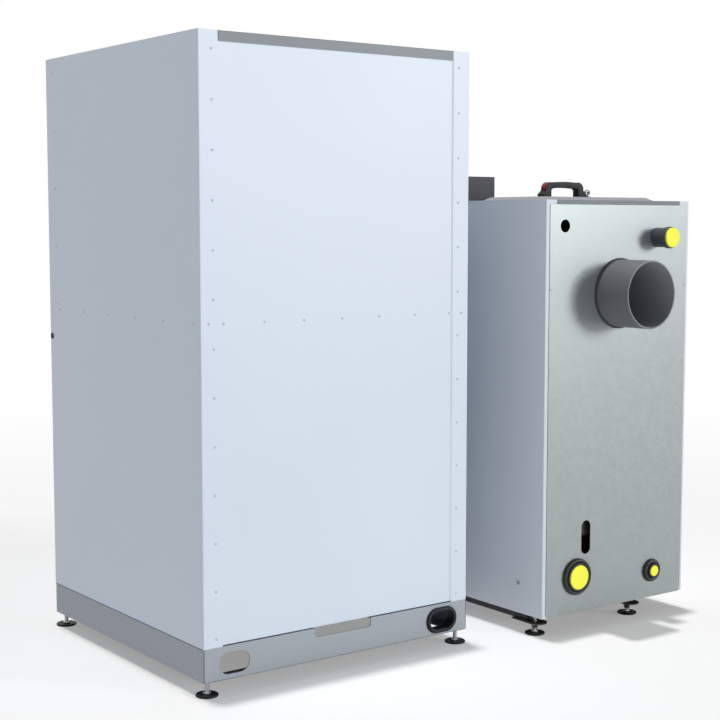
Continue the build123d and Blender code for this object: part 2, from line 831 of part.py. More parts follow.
boiler_rear_panel.part.label = "boiler_rear_panel"
export_step(boiler_rear_panel.part, "parts/boiler_rear_panel.step")

# Front frame: the plate behind the door and the drawer, with a lug above and below the door for its pins
frame_y = (front + door_thickness + door_gap, vessel_front)
door_pin_x = boiler_left + door_pin_inset
door_pin_y = front + door_thickness / 2
lug_levels = (door_bottom - lug_gap - lug_thickness, door_top + lug_gap)
with BuildPart() as boiler_front_frame:
    block(
        (boiler_left + casing_sheet, boiler_right - casing_sheet),
        frame_y,
        (boiler_skirt, boiler_top - casing_sheet),
    )
    block(
        (boiler_middle - mouth_half_width, boiler_middle + mouth_half_width),
        frame_y,
        (door_mouth_bottom, door_mouth_top),
        Mode.SUBTRACT,
    )
    block(
        (boiler_middle - mouth_half_width, boiler_middle + mouth_half_width),
        frame_y,
        (drawer_mouth_bottom, drawer_mouth_top),
        Mode.SUBTRACT,
    )
    for level in lug_levels:
        with BuildSketch(Plane.XY.offset(level)):
            with Locations((door_pin_x, (door_pin_y + frame_y[0]) / 2)):
                Rectangle(lug_width, frame_y[0] - door_pin_y)
            with Locations((door_pin_x, door_pin_y)):
                Circle(lug_width / 2)
                Circle(door_pin_radius + running_clearance, mode=Mode.SUBTRACT)
        extrude(amount=lug_thickness)
boiler_front_frame.part.label = "boiler_front_frame"
export_step(boiler_front_frame.part, "parts/boiler_front_frame.step")

# Top cover: a grey sheet between the side panels, folded down at the back, open under the cleaning cover
cover_y = boiler_rear - cover_from_rear
chamber_y = (vessel_rear - firebox_back_gap - chamber_depth, vessel_rear - firebox_back_gap)
chamber_middle = (chamber_y[0] + chamber_y[1]) / 2
chamber_inner = (2 * firebox_half_width - 2 * chamber_wall, chamber_depth - 2 * chamber_wall)
hatch_size = (chamber_inner[0] - cover_plug_clearance, chamber_inner[1] - cover_plug_clearance)
with BuildPart() as boiler_top_cover:
    with BuildSketch(Plane.YZ.offset(boiler_left + casing_sheet)):
        sheet_profile(
            [
                (frame_y[0], boiler_top),
                (boiler_rear, boiler_top),
                (boiler_rear, boiler_top - strip_height),
            ],
            casing_sheet,
            edge_bend,
            Side.RIGHT,
        )
    extrude(amount=boiler_width - 2 * casing_sheet)
    for sign in (-1, 1):
        edge = boiler_middle + sign * (boiler_width / 2 - boiler_flange - strip_gap)
        limit = boiler_middle + sign * boiler_width / 2
        block(
            sorted((edge, limit)),
            (boiler_rear - back_sheet - boiler_fold_radius, boiler_rear),
            (boiler_top - strip_height, boiler_top),
            Mode.SUBTRACT,
        )
    with BuildSketch(Plane.XY.offset(boiler_top - casing_sheet)):
        with Locations((boiler_middle, chamber_middle)):
            Rectangle(hatch_size[0], hatch_size[1])
    extrude(amount=casing_sheet, mode=Mode.SUBTRACT)
boiler_top_cover.part.label = "boiler_top_cover"
export_step(boiler_top_cover.part, "parts/boiler_top_cover.step")

# Vessel: the outer skin of the water jacket, open where the firebox, the chamber and the pipes meet it
vessel_x = (boiler_middle - vessel_half_width, boiler_middle + vessel_half_width)
vessel_y = (vessel_front, vessel_rear)
vessel_z = (base_top, vessel_top)
firebox_x = (boiler_middle - firebox_half_width, boiler_middle + firebox_half_width)
firebox_y = (vessel_front, vessel_rear - firebox_back_gap)
blower_x = boiler_middle + blower_offset
with BuildPart() as boiler_vessel:
    block(vessel_x, vessel_y, vessel_z)
    block(
        (vessel_x[0] + vessel_wall, vessel_x[1] - vessel_wall),
        (vessel_y[0] + vessel_wall, vessel_y[1] - vessel_wall),
        (vessel_z[0] + vessel_wall, vessel_z[1] - vessel_wall),
        Mode.SUBTRACT,
    )
    block(firebox_x, (vessel_y[0], vessel_y[0] + vessel_wall), (firebox_floor, firebox_roof), Mode.SUBTRACT)
    block(firebox_x, chamber_y, (vessel_top - vessel_wall, vessel_top), Mode.SUBTRACT)
    with BuildSketch(Plane.XZ.offset(-vessel_rear)):
        with Locations((boiler_middle, flue_level)):
            Circle(flue_bore_radius + flue_wall)
        with Locations((blower_x, blower_level)):
            Circle(air_pipe_radius)
        with Locations((supply_x, supply_level)):
            Circle(supply_neck_radius - stub_wall)
        with Locations((return_x, return_level)):
            Circle(return_radius - stub_wall)
        with Locations((drain_x, drain_level)):
            Circle(drain_radius - stub_wall)
    extrude(amount=vessel_wall, mode=Mode.SUBTRACT)
    with BuildSketch(Plane.YZ.offset(vessel_x[1])):
        with Locations((auger_y, auger_level)):
            Circle(tube_radius)
    extrude(amount=-vessel_wall, mode=Mode.SUBTRACT)
boiler_vessel.part.label = "boiler_vessel"
export_step(boiler_vessel.part, "parts/boiler_vessel.step")

# Firebox: the inner box of the vessel, open at the front behind the door and the drawer
fire_tube_spots = [
    (boiler_middle + (index - (fire_tube_count - 1) / 2) * tube_pitch, chamber_middle)
    for index in range(fire_tube_count)
]
with BuildPart() as firebox:
    block(firebox_x, firebox_y, (firebox_floor, firebox_roof))
    block(
        (firebox_x[0] + firebox_wall, firebox_x[1] - firebox_wall),
        (firebox_y[0], firebox_y[1] - firebox_wall),
        (firebox_floor + firebox_wall, firebox_roof - firebox_wall),
        Mode.SUBTRACT,
    )
    with BuildSketch(Plane.XY.offset(firebox_roof)):
        with Locations(*fire_tube_spots):
            Circle(fire_tube_radius - fire_tube_wall)
    extrude(amount=-firebox_wall, mode=Mode.SUBTRACT)
    with BuildSketch(Plane.XZ.offset(-firebox_y[1])):
        with Locations((blower_x, blower_level)):
            Circle(air_pipe_radius)
    extrude(amount=firebox_wall, mode=Mode.SUBTRACT)
    with BuildSketch(Plane.YZ.offset(firebox_x[1])):
        with Locations((auger_y, auger_level)):
            Circle(tube_radius)
    extrude(amount=-firebox_wall, mode=Mode.SUBTRACT)
firebox.part.label = "firebox"
export_step(firebox.part, "parts/firebox.step")

# Heat exchanger: upright fire tubes that open into the smoke chamber under the cleaning cover
with BuildPart() as heat_exchanger:
    block(firebox_x, chamber_y, (chamber_floor, vessel_top))
    block(
        (firebox_x[0] + chamber_wall, firebox_x[1] - chamber_wall),
        (chamber_y[0] + chamber_wall, chamber_y[1] - chamber_wall),
        (chamber_floor + firebox_wall, vessel_top),
        Mode.SUBTRACT,
    )
    with BuildSketch(Plane.XY.offset(firebox_roof)):
        with Locations(*fire_tube_spots):
            Circle(fire_tube_radius)
    extrude(amount=chamber_floor - firebox_roof)
    with BuildSketch(Plane.XY.offset(firebox_roof)):
        with Locations(*fire_tube_spots):
            Circle(fire_tube_radius - fire_tube_wall)
    extrude(amount=chamber_floor + firebox_wall - firebox_roof, mode=Mode.SUBTRACT)
    with BuildSketch(Plane.XZ.offset(-chamber_y[1])):
        with Locations((boiler_middle, flue_level)):
            Circle(flue_bore_radius - flue_stop)
    extrude(amount=chamber_wall, mode=Mode.SUBTRACT)
heat_exchanger.part.label = "heat_exchanger"
export_step(heat_exchanger.part, "parts/heat_exchanger.step")

# Burner pot: a cast bowl with a ring of air slots, in one casting with the hearth plate over the ash drawer,
# which lets the ash fall through a throat on each side of the bowl
throat_offset = pot_radius + ash_throat_width / 2 + pot_wall
with BuildPart() as burner_pot:
    block(
        (firebox_x[0] + firebox_wall, firebox_x[1] - firebox_wall),
        (firebox_y[0], firebox_y[1] - firebox_wall),
        (hearth_level - hearth_thickness, hearth_level),
    )
    with BuildSketch(Plane.XY.offset(hearth_level - hearth_thickness)):
        with Locations((boiler_middle - throat_offset, auger_y), (boiler_middle + throat_offset, auger_y)):
            Rectangle(ash_throat_width, ash_throat_length)
    extrude(amount=hearth_thickness, mode=Mode.SUBTRACT)
    with BuildSketch(Plane.XZ.offset(-auger_y)):
        with BuildLine():
            Polyline(
                (boiler_middle, hearth_level),
                (boiler_middle + pot_foot_radius, hearth_level),
                (boiler_middle + pot_radius, hearth_level + pot_height),
                (boiler_middle + pot_radius - pot_wall, hearth_level + pot_height),
                (boiler_middle + pot_foot_radius - pot_wall, hearth_level + pot_wall),
                (boiler_middle, hearth_level + pot_wall),
                close=True,
            )
        make_face()
    revolve(axis=Axis((boiler_middle, auger_y, 0), (0, 0, 1)))
    with BuildSketch(Plane.XY.offset(hearth_level + 2 * pot_wall)):
        with Locations((boiler_middle, auger_y)):
            with PolarLocations(pot_radius, pot_air_slots):
                Rectangle(2 * (pot_radius - pot_foot_radius + pot_wall), pot_slot_width)
    extrude(amount=pot_slot_height, mode=Mode.SUBTRACT)
burner_pot.part.label = "burner_pot"
export_step(burner_pot.part, "parts/burner_pot.step")

# Blower housing: a round sheet can on the vessel's back, with its air pipe through the water jacket
blower_back = vessel_rear + blower_depth
with BuildPart() as blower_housing:
    with BuildSketch(Plane.XZ.offset(-vessel_rear)):
        with Locations((blower_x, blower_level)):
            Circle(blower_radius)
    extrude(amount=-blower_depth)
    chamfer(blower_housing.faces().sort_by(Axis.Y)[-1].edges(), length=blower_wall)
    with BuildSketch(Plane.XZ.offset(-vessel_rear - blower_wall)):
        with Locations((blower_x, blower_level)):
            Circle(blower_radius - blower_wall)
    extrude(amount=-(blower_depth - 2 * blower_wall), mode=Mode.SUBTRACT)
    with BuildSketch(Plane.XZ.offset(-vessel_rear)):
        with Locations((blower_x, blower_level)):
            Circle(air_pipe_radius)
    extrude(amount=firebox_back_gap + 2 * firebox_wall)
    with BuildSketch(Plane.XZ.offset(-vessel_rear - blower_wall)):
        with Locations((blower_x, blower_level)):
            Circle(air_pipe_radius - air_pipe_wall)
    extrude(amount=firebox_back_gap + 2 * firebox_wall + blower_wall, mode=Mode.SUBTRACT)
    with BuildSketch(Plane.XZ.offset(-blower_back)):
        with Locations((blower_x, blower_level)):
            Circle(blower_shaft_radius + running_clearance)
    extrude(amount=blower_wall, mode=Mode.SUBTRACT)
blower_housing.part.label = "blower_housing"
export_step(blower_housing.part, "parts/blower_housing.step")

# Blower motor: a round can on the back of the housing
with BuildPart() as blower_motor:
    with BuildSketch(Plane.XZ.offset(-blower_back)):
        with Locations((blower_x, blower_level)):
            Circle(blower_motor_radius)
    extrude(amount=-blower_motor_length)
    chamfer(blower_motor.faces().sort_by(Axis.Y)[-1].edges(), length=blower_wall)
    with BuildSketch(Plane.XZ.offset(-blower_back)):
        with Locations((blower_x, blower_level)):
            Circle(blower_shaft_radius + running_clearance)
    extrude(amount=-(blower_motor_length - 2 * blower_wall), mode=Mode.SUBTRACT)
blower_motor.part.label = "blower_motor"
export_step(blower_motor.part, "parts/blower_motor.step")

# Blower wheel: a disc with swept-back blades on the motor's shaft
wheel_back = blower_back - 2 * blower_wall
with BuildPart() as blower_wheel:
    with BuildSketch(Plane.XZ.offset(-wheel_back)):
        with Locations((blower_x, blower_level)):
            Circle(wheel_radius)
    extrude(amount=blower_wall)
    with BuildSketch(Plane.XZ.offset(-wheel_back)):
        with Locations((blower_x, blower_level)):
            Circle(wheel_hub_radius)
            with PolarLocations(wheel_radius * 0.66, wheel_blades):
                Rectangle(wheel_radius * 0.62, wheel_blade_thickness, rotation=35)
    extrude(amount=wheel_width)
    with BuildSketch(Plane.XZ.offset(-wheel_back)):
        with Locations((blower_x, blower_level)):
            Circle(blower_shaft_radius)
    extrude(amount=-(blower_motor_length - blower_wall))
blower_wheel.part.label = "blower_wheel"
export_step(blower_wheel.part, "parts/blower_wheel.step")

# Flue spigot: a round steel pipe from the smoke chamber through the back, with a flange on the vessel
flue_outer = flue_bore_radius + flue_wall
flue_end = boiler_rear + flue_projection
with BuildPart() as flue_spigot:
    with BuildSketch(Plane.XZ.offset(-chamber_y[1])):
        with Locations((boiler_middle, flue_level)):
            Circle(flue_outer)
    extrude(amount=-(flue_end - chamber_y[1]))
    with BuildSketch(Plane.XZ.offset(-vessel_rear)):
        with Locations((boiler_middle, flue_level)):
            Circle(flue_outer + flue_flange_width)
    extrude(amount=-flue_flange_thickness)
    with BuildSketch(Plane.XZ.offset(-chamber_y[1])):
        with Locations((boiler_middle, flue_level)):
            Circle(flue_bore_radius)
    extrude(amount=-(flue_end - chamber_y[1]), mode=Mode.SUBTRACT)
flue_spigot.part.label = "flue_spigot"
export_step(flue_spigot.part, "parts/flue_spigot.step")

# Flue gasket: a soft ring that covers the gap between the spigot and the rear panel
with BuildPart() as flue_gasket:
    with BuildSketch(Plane.XZ.offset(-boiler_rear)):
        with Locations((boiler_middle, flue_level)):
            Circle(flue_outer + flue_gasket_width)
            Circle(flue_outer, mode=Mode.SUBTRACT)
    extrude(amount=-flue_gasket_thickness)
    chamfer(flue_gasket.faces().sort_by(Axis.Y)[-1].outer_wire().edges(), length=flue_gasket_thickness / 2)
flue_gasket.part.label = "flue_gasket"
export_step(flue_gasket.part, "parts/flue_gasket.step")


def water_stub(x, level, radius, projection, plug_radius):
    """A pipe from the vessel's back wall through the rear panel, widened inside to take its transport plug."""
    end = boiler_rear + projection
    with BuildPart() as stub:
        with BuildSketch(Plane.XZ.offset(-vessel_rear)):
            with Locations((x, level)):
                Circle(radius)
        extrude(amount=-(end - vessel_rear))
        with BuildSketch(Plane.XZ.offset(-vessel_rear)):
            with Locations((x, level)):
                Circle(min(radius, plug_radius) - stub_wall)
        extrude(amount=-(end - vessel_rear), mode=Mode.SUBTRACT)
        with BuildSketch(Plane.XZ.offset(-end)):
            with Locations((x, level)):
                Circle(plug_radius + running_clearance)
        extrude(amount=plug_length, mode=Mode.SUBTRACT)
    return stub


def transport_plug(x, level, projection, plug_radius):
    """A yellow plastic plug: a short cup that fills the stub's mouth and stands out a little."""
    face = boiler_rear + projection + plug_stand_out
    with BuildPart() as plug:
        with BuildSketch(Plane.XZ.offset(-face)):
            with Locations((x, level)):
                Circle(plug_radius)
        extrude(amount=plug_length)
        with BuildSketch(Plane.XZ.offset(-(face - plug_length))):
            with Locations((x, level)):
                Circle(plug_radius - stub_wall)
        extrude(amount=-(plug_length - stub_wall), mode=Mode.SUBTRACT)
        chamfer(plug.faces().sort_by(Axis.Y)[-1].edges(), length=plug_stand_out / 2)
    return plug


# Supply stub: a neck through the back with a thicker threaded collar on its end
with BuildPart() as supply_stub:
    with BuildSketch(Plane.XZ.offset(-vessel_rear)):
        with Locations((supply_x, supply_level)):
            Circle(supply_neck_radius)
    extrude(amount=-(rear_bay + supply_projection))
    with BuildSketch(Plane.XZ.offset(-(boiler_rear + supply_collar_start))):
        with Locations((supply_x, supply_level)):
            Circle(supply_collar_radius)
    extrude(amount=-(supply_projection - supply_collar_start))
    chamfer(
        supply_stub.edges().filter_by(GeomType.CIRCLE).group_by(Axis.Y)[-1],
        length=stub_chamfer,
    )
    with BuildSketch(Plane.XZ.offset(-vessel_rear)):
        with Locations((supply_x, supply_level)):
            Circle(supply_neck_radius - stub_wall)
    extrude(amount=-(rear_bay + supply_projection), mode=Mode.SUBTRACT)
    with BuildSketch(Plane.XZ.offset(-(boiler_rear + supply_projection))):
        with Locations((supply_x, supply_level)):
            Circle(supply_plug_radius + running_clearance)
    extrude(amount=plug_length, mode=Mode.SUBTRACT)
supply_stub.part.label = "supply_stub"
export_step(supply_stub.part, "parts/supply_stub.step")

return_stub = water_stub(return_x, return_level, return_radius, return_projection, return_plug_radius)
return_stub.part.label = "return_stub"
export_step(return_stub.part, "parts/return_stub.step")

drain_stub = water_stub(drain_x, drain_level, drain_radius, drain_projection, drain_plug_radius)
drain_stub.part.label = "drain_stub"
export_step(drain_stub.part, "parts/drain_stub.step")

supply_plug = transport_plug(supply_x, supply_level, supply_projection, supply_plug_radius)
supply_plug.part.label = "supply_plug"
export_step(supply_plug.part, "parts/supply_plug.step")

return_plug = transport_plug(return_x, return_level, return_projection, return_plug_radius)
return_plug.part.label = "return_plug"
export_step(return_plug.part, "parts/return_plug.step")

drain_plug = transport_plug(drain_x, drain_level, drain_projection, drain_plug_radius)
drain_plug.part.label = "drain_plug"
export_step(drain_plug.part, "parts/drain_plug.step")

# Rosettes: soft round rubber rings that close the holes around the return and the drain
with BuildPart() as stub_rosettes:
    for x, level, pipe, outer in (
        (return_x, return_level, return_radius, return_rosette_radius),
        (drain_x, drain_level, drain_radius, drain_rosette_radius),
    ):
        with BuildSketch(Plane.XZ.offset(-boiler_rear)):
            with Locations((x, level)):
                Circle(outer)
                Circle(pipe, mode=Mode.SUBTRACT)
        extrude(amount=-rosette_thickness)
    rims = stub_rosettes.faces().filter_by(Plane.XZ).group_by(Axis.Y)[-1]
    rim_edges = [edge for rim in rims for edge in rim.outer_wire().edges()]
    chamfer(rim_edges, length=rosette_crown, length2=rosette_round)
    shoulders = stub_rosettes.edges().filter_by(GeomType.CIRCLE).group_by(Axis.Y)[1]
    chamfer(shoulders, length=rosette_crown, length2=rosette_crown / 2)
stub_rosettes.part.label = "stub_rosettes"
export_step(stub_rosettes.part, "parts/stub_rosettes.step")

# Cleaning cover: a raised lid with sloped ends, and an insulating plug below that fills the chamber's mouth
cover_top = boiler_top + cover_height
plug_low = vessel_top - cover_plug_reach
with BuildPart() as cleaning_cover:
    with BuildSketch(Plane.XY.offset(boiler_top)):
        with Locations((boiler_middle, cover_y)):
            Rectangle(cover_length, cover_width)
    with BuildSketch(Plane.XY.offset(cover_top)):
        with Locations((boiler_middle, cover_y)):
            Rectangle(cover_length - 2 * cover_slope_x, cover_width - 2 * cover_slope_y)
    loft()
    with BuildSketch(Plane.XY.offset(boiler_top)):
        with Locations((boiler_middle, chamber_middle)):
            Rectangle(hatch_size[0] - 2 * cover_plug_clearance, hatch_size[1] - 2 * cover_plug_clearance)
    extrude(amount=plug_low - boiler_top)
cleaning_cover.part.label = "cleaning_cover"
export_step(cleaning_cover.part, "parts/cleaning_cover.step")


def bow_handle(seat, length):
    """A moulded bow handle drawn in its own plane: flared feet, two legs and a rounded grip, standing on the seat."""
    half = length / 2
    foot = half + handle_foot_reach
    with BuildPart() as handle:
        with BuildSketch(seat):
            with BuildLine():
                Polyline(
                    (-foot, 0),
                    (-foot, handle_foot_height),
                    (-half, handle_foot_height + handle_foot_slope),
                    (-half, handle_height),
                    (half, handle_height),
                    (half, handle_foot_height + handle_foot_slope),
                    (foot, handle_foot_height),
                    (foot, 0),
                    close=True,
                )
            make_face()
            with Locations((0, (handle_height - handle_grip) / 2)):
                Rectangle(length - 2 * handle_leg, handle_height - handle_grip, mode=Mode.SUBTRACT)
        extrude(amount=handle_width / 2, both=True)
        across = handle.edges().filter_by(Axis(seat.origin, seat.z_dir))
        fillet(across.sort_by_distance(seat.origin + seat.y_dir * 9 * handle_height)[:2], radius=handle_corner)
        across = handle.edges().filter_by(Axis(seat.origin, seat.z_dir))
        fillet(
            across.sort_by_distance(seat.origin + seat.y_dir * (handle_height - handle_grip))[:2],
            radius=handle_corner / 2,
        )
    return handle


# Handle of the cleaning cover, parallel to the boiler's back
cover_handle_seat = Plane(
    origin=(boiler_middle, boiler_rear - handle_from_rear, cover_top), x_dir=(1, 0, 0), z_dir=(0, -1, 0)
)
cover_handle = bow_handle(cover_handle_seat, handle_length)
cover_handle.part.label = "cover_handle"
export_step(cover_handle.part, "parts/cover_handle.step")

# Red caps that clip over the rounded upper corners of the cover's handle
with BuildPart() as cover_handle_caps:
    for sign in (-1, 1):
        with BuildSketch(cover_handle_seat):
            with BuildLine():
                end = sign * (handle_length / 2 + handle_cap_thickness)
                inside = sign * (handle_length / 2 - handle_cap_length)
                crown = handle_height + handle_cap_thickness
                Polyline((inside, crown), (end, crown), (end, crown - handle_cap_height))
                Line((end, crown - handle_cap_height), (inside, crown))
            make_face()
            fillet(vertices().sort_by_distance((end, crown))[0], radius=handle_corner + handle_cap_thickness)
        extrude(amount=handle_width / 2 - handle_cap_thickness, both=True)
    add(cover_handle.part, mode=Mode.SUBTRACT)
cover_handle_caps.part.label = "cover_handle_caps"
export_step(cover_handle_caps.part, "parts/cover_handle_caps.step")

# Ring nut: a bright lifting eye that holds the cleaning cover down
ring_nut_x = boiler_middle - ring_nut_offset
ring_nut_y = boiler_rear - handle_from_rear
with BuildPart() as ring_nut:
    with BuildSketch(Plane.XY.offset(cover_top)):
        with Locations((ring_nut_x, ring_nut_y)):
            Circle(ring_nut_base_radius)
    extrude(amount=ring_nut_base_height)
    ring_level = cover_top + ring_nut_base_height + ring_nut_radius - ring_nut_wire
    with BuildSketch(Plane.XY.offset(ring_level)):
        with Locations((ring_nut_x + ring_nut_radius - ring_nut_wire, ring_nut_y)):
            RegularPolygon(ring_nut_wire, ring_nut_sides)
    revolve(axis=Axis((ring_nut_x, ring_nut_y, ring_level), (0, 1, 0)))
ring_nut.part.label = "ring_nut"
export_step(ring_nut.part, "parts/ring_nut.step")

# Control housing: a dark moulding across the top front edge, with a sloped face for the display and the switch
slope_low = Vector(0, front, control_bottom + control_slope_start)
slope_high = Vector(0, front + control_slope, control_top)
slope_run = (slope_high - slope_low).length
slope_middle = (slope_low + slope_high) * 0.5
slope_normal = Vector(0, -(control_top - slope_low.Z), control_slope).normalized()
display_plane = Plane(
    origin=(boiler_middle, slope_middle.Y, slope_middle.Z), x_dir=(1, 0, 0), z_dir=tuple(slope_normal)
)
switch_plane = Plane(
    origin=(boiler_right - control_inset - switch_inset, slope_middle.Y, slope_middle.Z),
    x_dir=(1, 0, 0),
    z_dir=tuple(slope_normal),
)
control_x = (boiler_left + control_inset, boiler_right - control_inset)
with BuildPart() as control_housing:
    with BuildSketch(Plane.YZ.offset(control_x[0])):
        with BuildLine():
            Polyline(
                (front, control_bottom),
                (front, slope_low.Z),
                (slope_high.Y, control_top),
                (front + control_depth, control_top),
                (front + control_depth, boiler_top),
                (front + door_thickness + door_gap - control_clearance, boiler_top),
                (front + door_thickness + door_gap - control_clearance, control_bottom),
                close=True,
            )
        make_face()
    extrude(amount=control_x[1] - control_x[0])
    rear_edges = control_housing.edges().filter_by(Axis.Z).group_by(Axis.Y)[-1]
    chamfer(rear_edges, length=control_bevel)
    top_edges = control_housing.edges().filter_by(Axis.X).group_by(Axis.Z)[-1]
    fillet(top_edges, radius=control_bevel / 2)
    with BuildSketch(display_plane):
        RectangleRounded(display_length, display_height, control_bevel)
    extrude(amount=-display_thickness, mode=Mode.SUBTRACT)
    with BuildSketch(switch_plane):
        Rectangle(switch_width + 2 * switch_clearance, switch_length + 2 * switch_clearance)
    extrude(amount=-switch_pocket_depth, mode=Mode.SUBTRACT)
control_housing.part.label = "control_housing"
export_step(control_housing.part, "parts/control_housing.step")

# Display: a flat glass set flush in the sloped face
with BuildPart() as display_glass:
    with BuildSketch(display_plane.offset(-display_thickness)):
        RectangleRounded(display_length, display_height, control_bevel)
    extrude(amount=display_thickness)
display_glass.part.label = "display_glass"
export_step(display_glass.part, "parts/display_glass.step")

# Power switch: a rocker that tips about a pin behind the sloped face, stored in its off position
rocker_axis = switch_plane.offset(-switch_pivot_depth).rotated((switch_tilt, 0, 0))
with BuildPart() as power_switch:
    with BuildSketch(Plane(origin=rocker_axis.origin, x_dir=rocker_axis.y_dir, z_dir=rocker_axis.x_dir)):
        with BuildLine():
            half = switch_length / 2 - switch_clearance
            Polyline((-half, 0), (-half, switch_pivot_depth), (half, switch_pivot_depth), (half, 0), close=True)
        make_face()
        Circle(switch_pivot_depth - switch_clearance)
    extrude(amount=switch_width / 2, both=True)
power_switch.part.label = "power_switch"
export_step(power_switch.part, "parts/power_switch.step")

# Door: a white pan with a hinge block behind each pin hole
door_x = (boiler_left + door_side_gap, boiler_right - door_side_gap)
door_y = (front, front + door_thickness)
with BuildPart() as boiler_door:
    block(door_x, door_y, (door_bottom, door_top))
    fillet(boiler_door.faces().sort_by(Axis.Y)[0].edges(), radius=door_edge_radius)
    block(
        (door_x[0] + door_sheet, door_x[1] - door_sheet),
        (door_y[0] + door_sheet, door_y[1]),
        (door_bottom + door_sheet, door_top - door_sheet),
        Mode.SUBTRACT,
    )
    for low in (door_bottom + door_sheet, door_top - door_sheet - hinge_block_height):
        block(
            (door_x[0] + door_sheet, door_x[0] + door_sheet + hinge_block_size),
            (door_y[0] + door_sheet, door_y[1] - liner_plate),
            (low, low + hinge_block_height),
        )
    for low in (door_bottom, door_top - door_pin_reach - lug_gap):
        with BuildSketch(Plane.XY.offset(low)):
            with Locations((door_pin_x, door_pin_y)):
                Circle(door_pin_radius + running_clearance)
        extrude(amount=door_pin_reach + lug_gap, mode=Mode.SUBTRACT)
boiler_door.part.label = "boiler_door"
export_step(boiler_door.part, "parts/boiler_door.step")

# Door liner: the plate that closes the door's back, with the insulating pad that enters the firebox mouth
with BuildPart() as door_liner:
    block(
        (door_x[0] + door_sheet, door_x[1] - door_sheet),
        (door_y[1] - liner_plate, door_y[1]),
        (door_bottom + door_sheet, door_top - door_sheet),
    )
    block(
        (boiler_middle - mouth_half_width + liner_clearance, boiler_middle + mouth_half_width - liner_clearance),
        (door_y[1], door_y[1] + liner_depth),
        (door_mouth_bottom + liner_clearance, door_mouth_top - liner_clearance),
    )
    fillet(door_liner.faces().sort_by(Axis.Y)[-1].edges(), radius=liner_plate)
door_liner.part.label = "door_liner"
export_step(door_liner.part, "parts/door_liner.step")

# Door seal: a rope ring that presses on the front frame around the firebox mouth
seal_outer = 2 * (mouth_half_width + door_seal_width)
seal_rise = door_mouth_top - door_mouth_bottom + 2 * door_seal_width
mouth_middle = (door_mouth_bottom + door_mouth_top) / 2
with BuildPart() as door_seal:
    with BuildSketch(Plane.XZ.offset(-door_y[1])):
        with Locations((boiler_middle, mouth_middle)):
            RectangleRounded(seal_outer, seal_rise, 2 * door_seal_width)
            RectangleRounded(
                seal_outer - 2 * door_seal_width, seal_rise - 2 * door_seal_width, door_seal_width,
                mode=Mode.SUBTRACT,
            )
    extrude(amount=-door_seal_thickness)
door_seal.part.label = "door_seal"
export_step(door_seal.part, "parts/door_seal.step")

# Door handle: the same moulded bow, standing upright near the door's free edge
door_handle_seat = Plane(
    origin=(boiler_right - door_handle_inset, front, (door_bottom + door_top) / 2),
    x_dir=(0, 0, 1),
    z_dir=(1, 0, 0),
)
door_handle = bow_handle(door_handle_seat, door_handle_length)
door_handle.part.label = "door_handle"
export_step(door_handle.part, "parts/door_handle.step")

# Ash drawer: a white front with a folded grip lip, and an open steel box that runs under the hearth
drawer_half = firebox_half_width - firebox_wall - drawer_clearance
drawer_low = firebox_floor + firebox_wall + drawer_lift
with BuildPart() as ash_drawer:
    block(door_x, door_y, (drawer_front_bottom, drawer_front_top))
    fillet(ash_drawer.faces().sort_by(Axis.Y)[0].edges(), radius=door_edge_radius)
    block(
        (door_x[0] + door_sheet, door_x[1] - door_sheet),
        (door_y[0] + door_sheet, door_y[1] - door_sheet),
        (drawer_front_bottom + door_sheet, drawer_front_top - door_sheet),
        Mode.SUBTRACT,
    )
    with BuildSketch(Plane.YZ.offset(boiler_middle - lid_lip_length / 2)):
        sheet_profile(
            [
                (front + door_sheet, drawer_front_top - drawer_lip),
                (front - drawer_lip, drawer_front_top - drawer_lip),
                (front - drawer_lip, drawer_front_top - drawer_lip - lid_lip_rise),
            ],
            casing_sheet,
            edge_bend,
            Side.LEFT,
        )
    extrude(amount=lid_lip_length)
    block(
        (boiler_middle - drawer_half, boiler_middle + drawer_half),
        (door_y[1], door_y[1] + drawer_length),
        (drawer_low, drawer_low + drawer_height),
    )
    block(
        (boiler_middle - drawer_half + drawer_sheet, boiler_middle + drawer_half - drawer_sheet),
        (door_y[1] + drawer_sheet, door_y[1] + drawer_length - drawer_sheet),
        (drawer_low + drawer_sheet, drawer_low + drawer_height),
        Mode.SUBTRACT,
    )
ash_drawer.part.label = "ash_drawer"
export_step(ash_drawer.part, "parts/ash_drawer.step")

# Hinge pins: two short ones through the lid's knuckles, two stout ones through the door's lugs
lid_pin_half = lid_knuckle_length + lid_gap
with BuildPart() as hinge_pins:
    for station in hinge_stations:
        with BuildSketch(Plane.YZ.offset(station - lid_pin_half)):
            with Locations((hinge_axis_y, hinge_axis_z)):
                Circle(lid_pin_radius)
        extrude(amount=2 * lid_pin_half)
    for low, high in (
        (lug_levels[0], door_bottom + door_pin_reach),
        (door_top - door_pin_reach, lug_levels[1] + lug_thickness),
    ):
        with BuildSketch(Plane.XY.offset(low)):
            with Locations((door_pin_x, door_pin_y)):
                Circle(door_pin_radius)
        extrude(amount=high - low)
hinge_pins.part.label = "hinge_pins"
export_step(hinge_pins.part, "parts/hinge_pins.step")


def levelling_foot(x, y):
    """A screw foot: a flat round pad, and the threaded stud with its hexagon that stands in it."""
    with BuildPart() as foot:
        with BuildSketch(Plane.XZ.offset(-y)):
            with BuildLine():
                Polyline(
                    (x, 0),
                    (x + foot_radius, 0),
                    (x + foot_radius, foot_rim),
                    (x + stud_radius, foot_rim),
                    (x + stud_radius, stud_top),
                    (x, stud_top),
                    close=True,
                )
            make_face()
        revolve(axis=Axis((x, y, 0), (0, 0, 1)))
        with BuildSketch(Plane.XY.offset(foot_rim)):
            with Locations((x, y)):
                RegularPolygon(foot_hex_flats / 2, 6, major_radius=False)
        extrude(amount=foot_hex_height)
    return foot


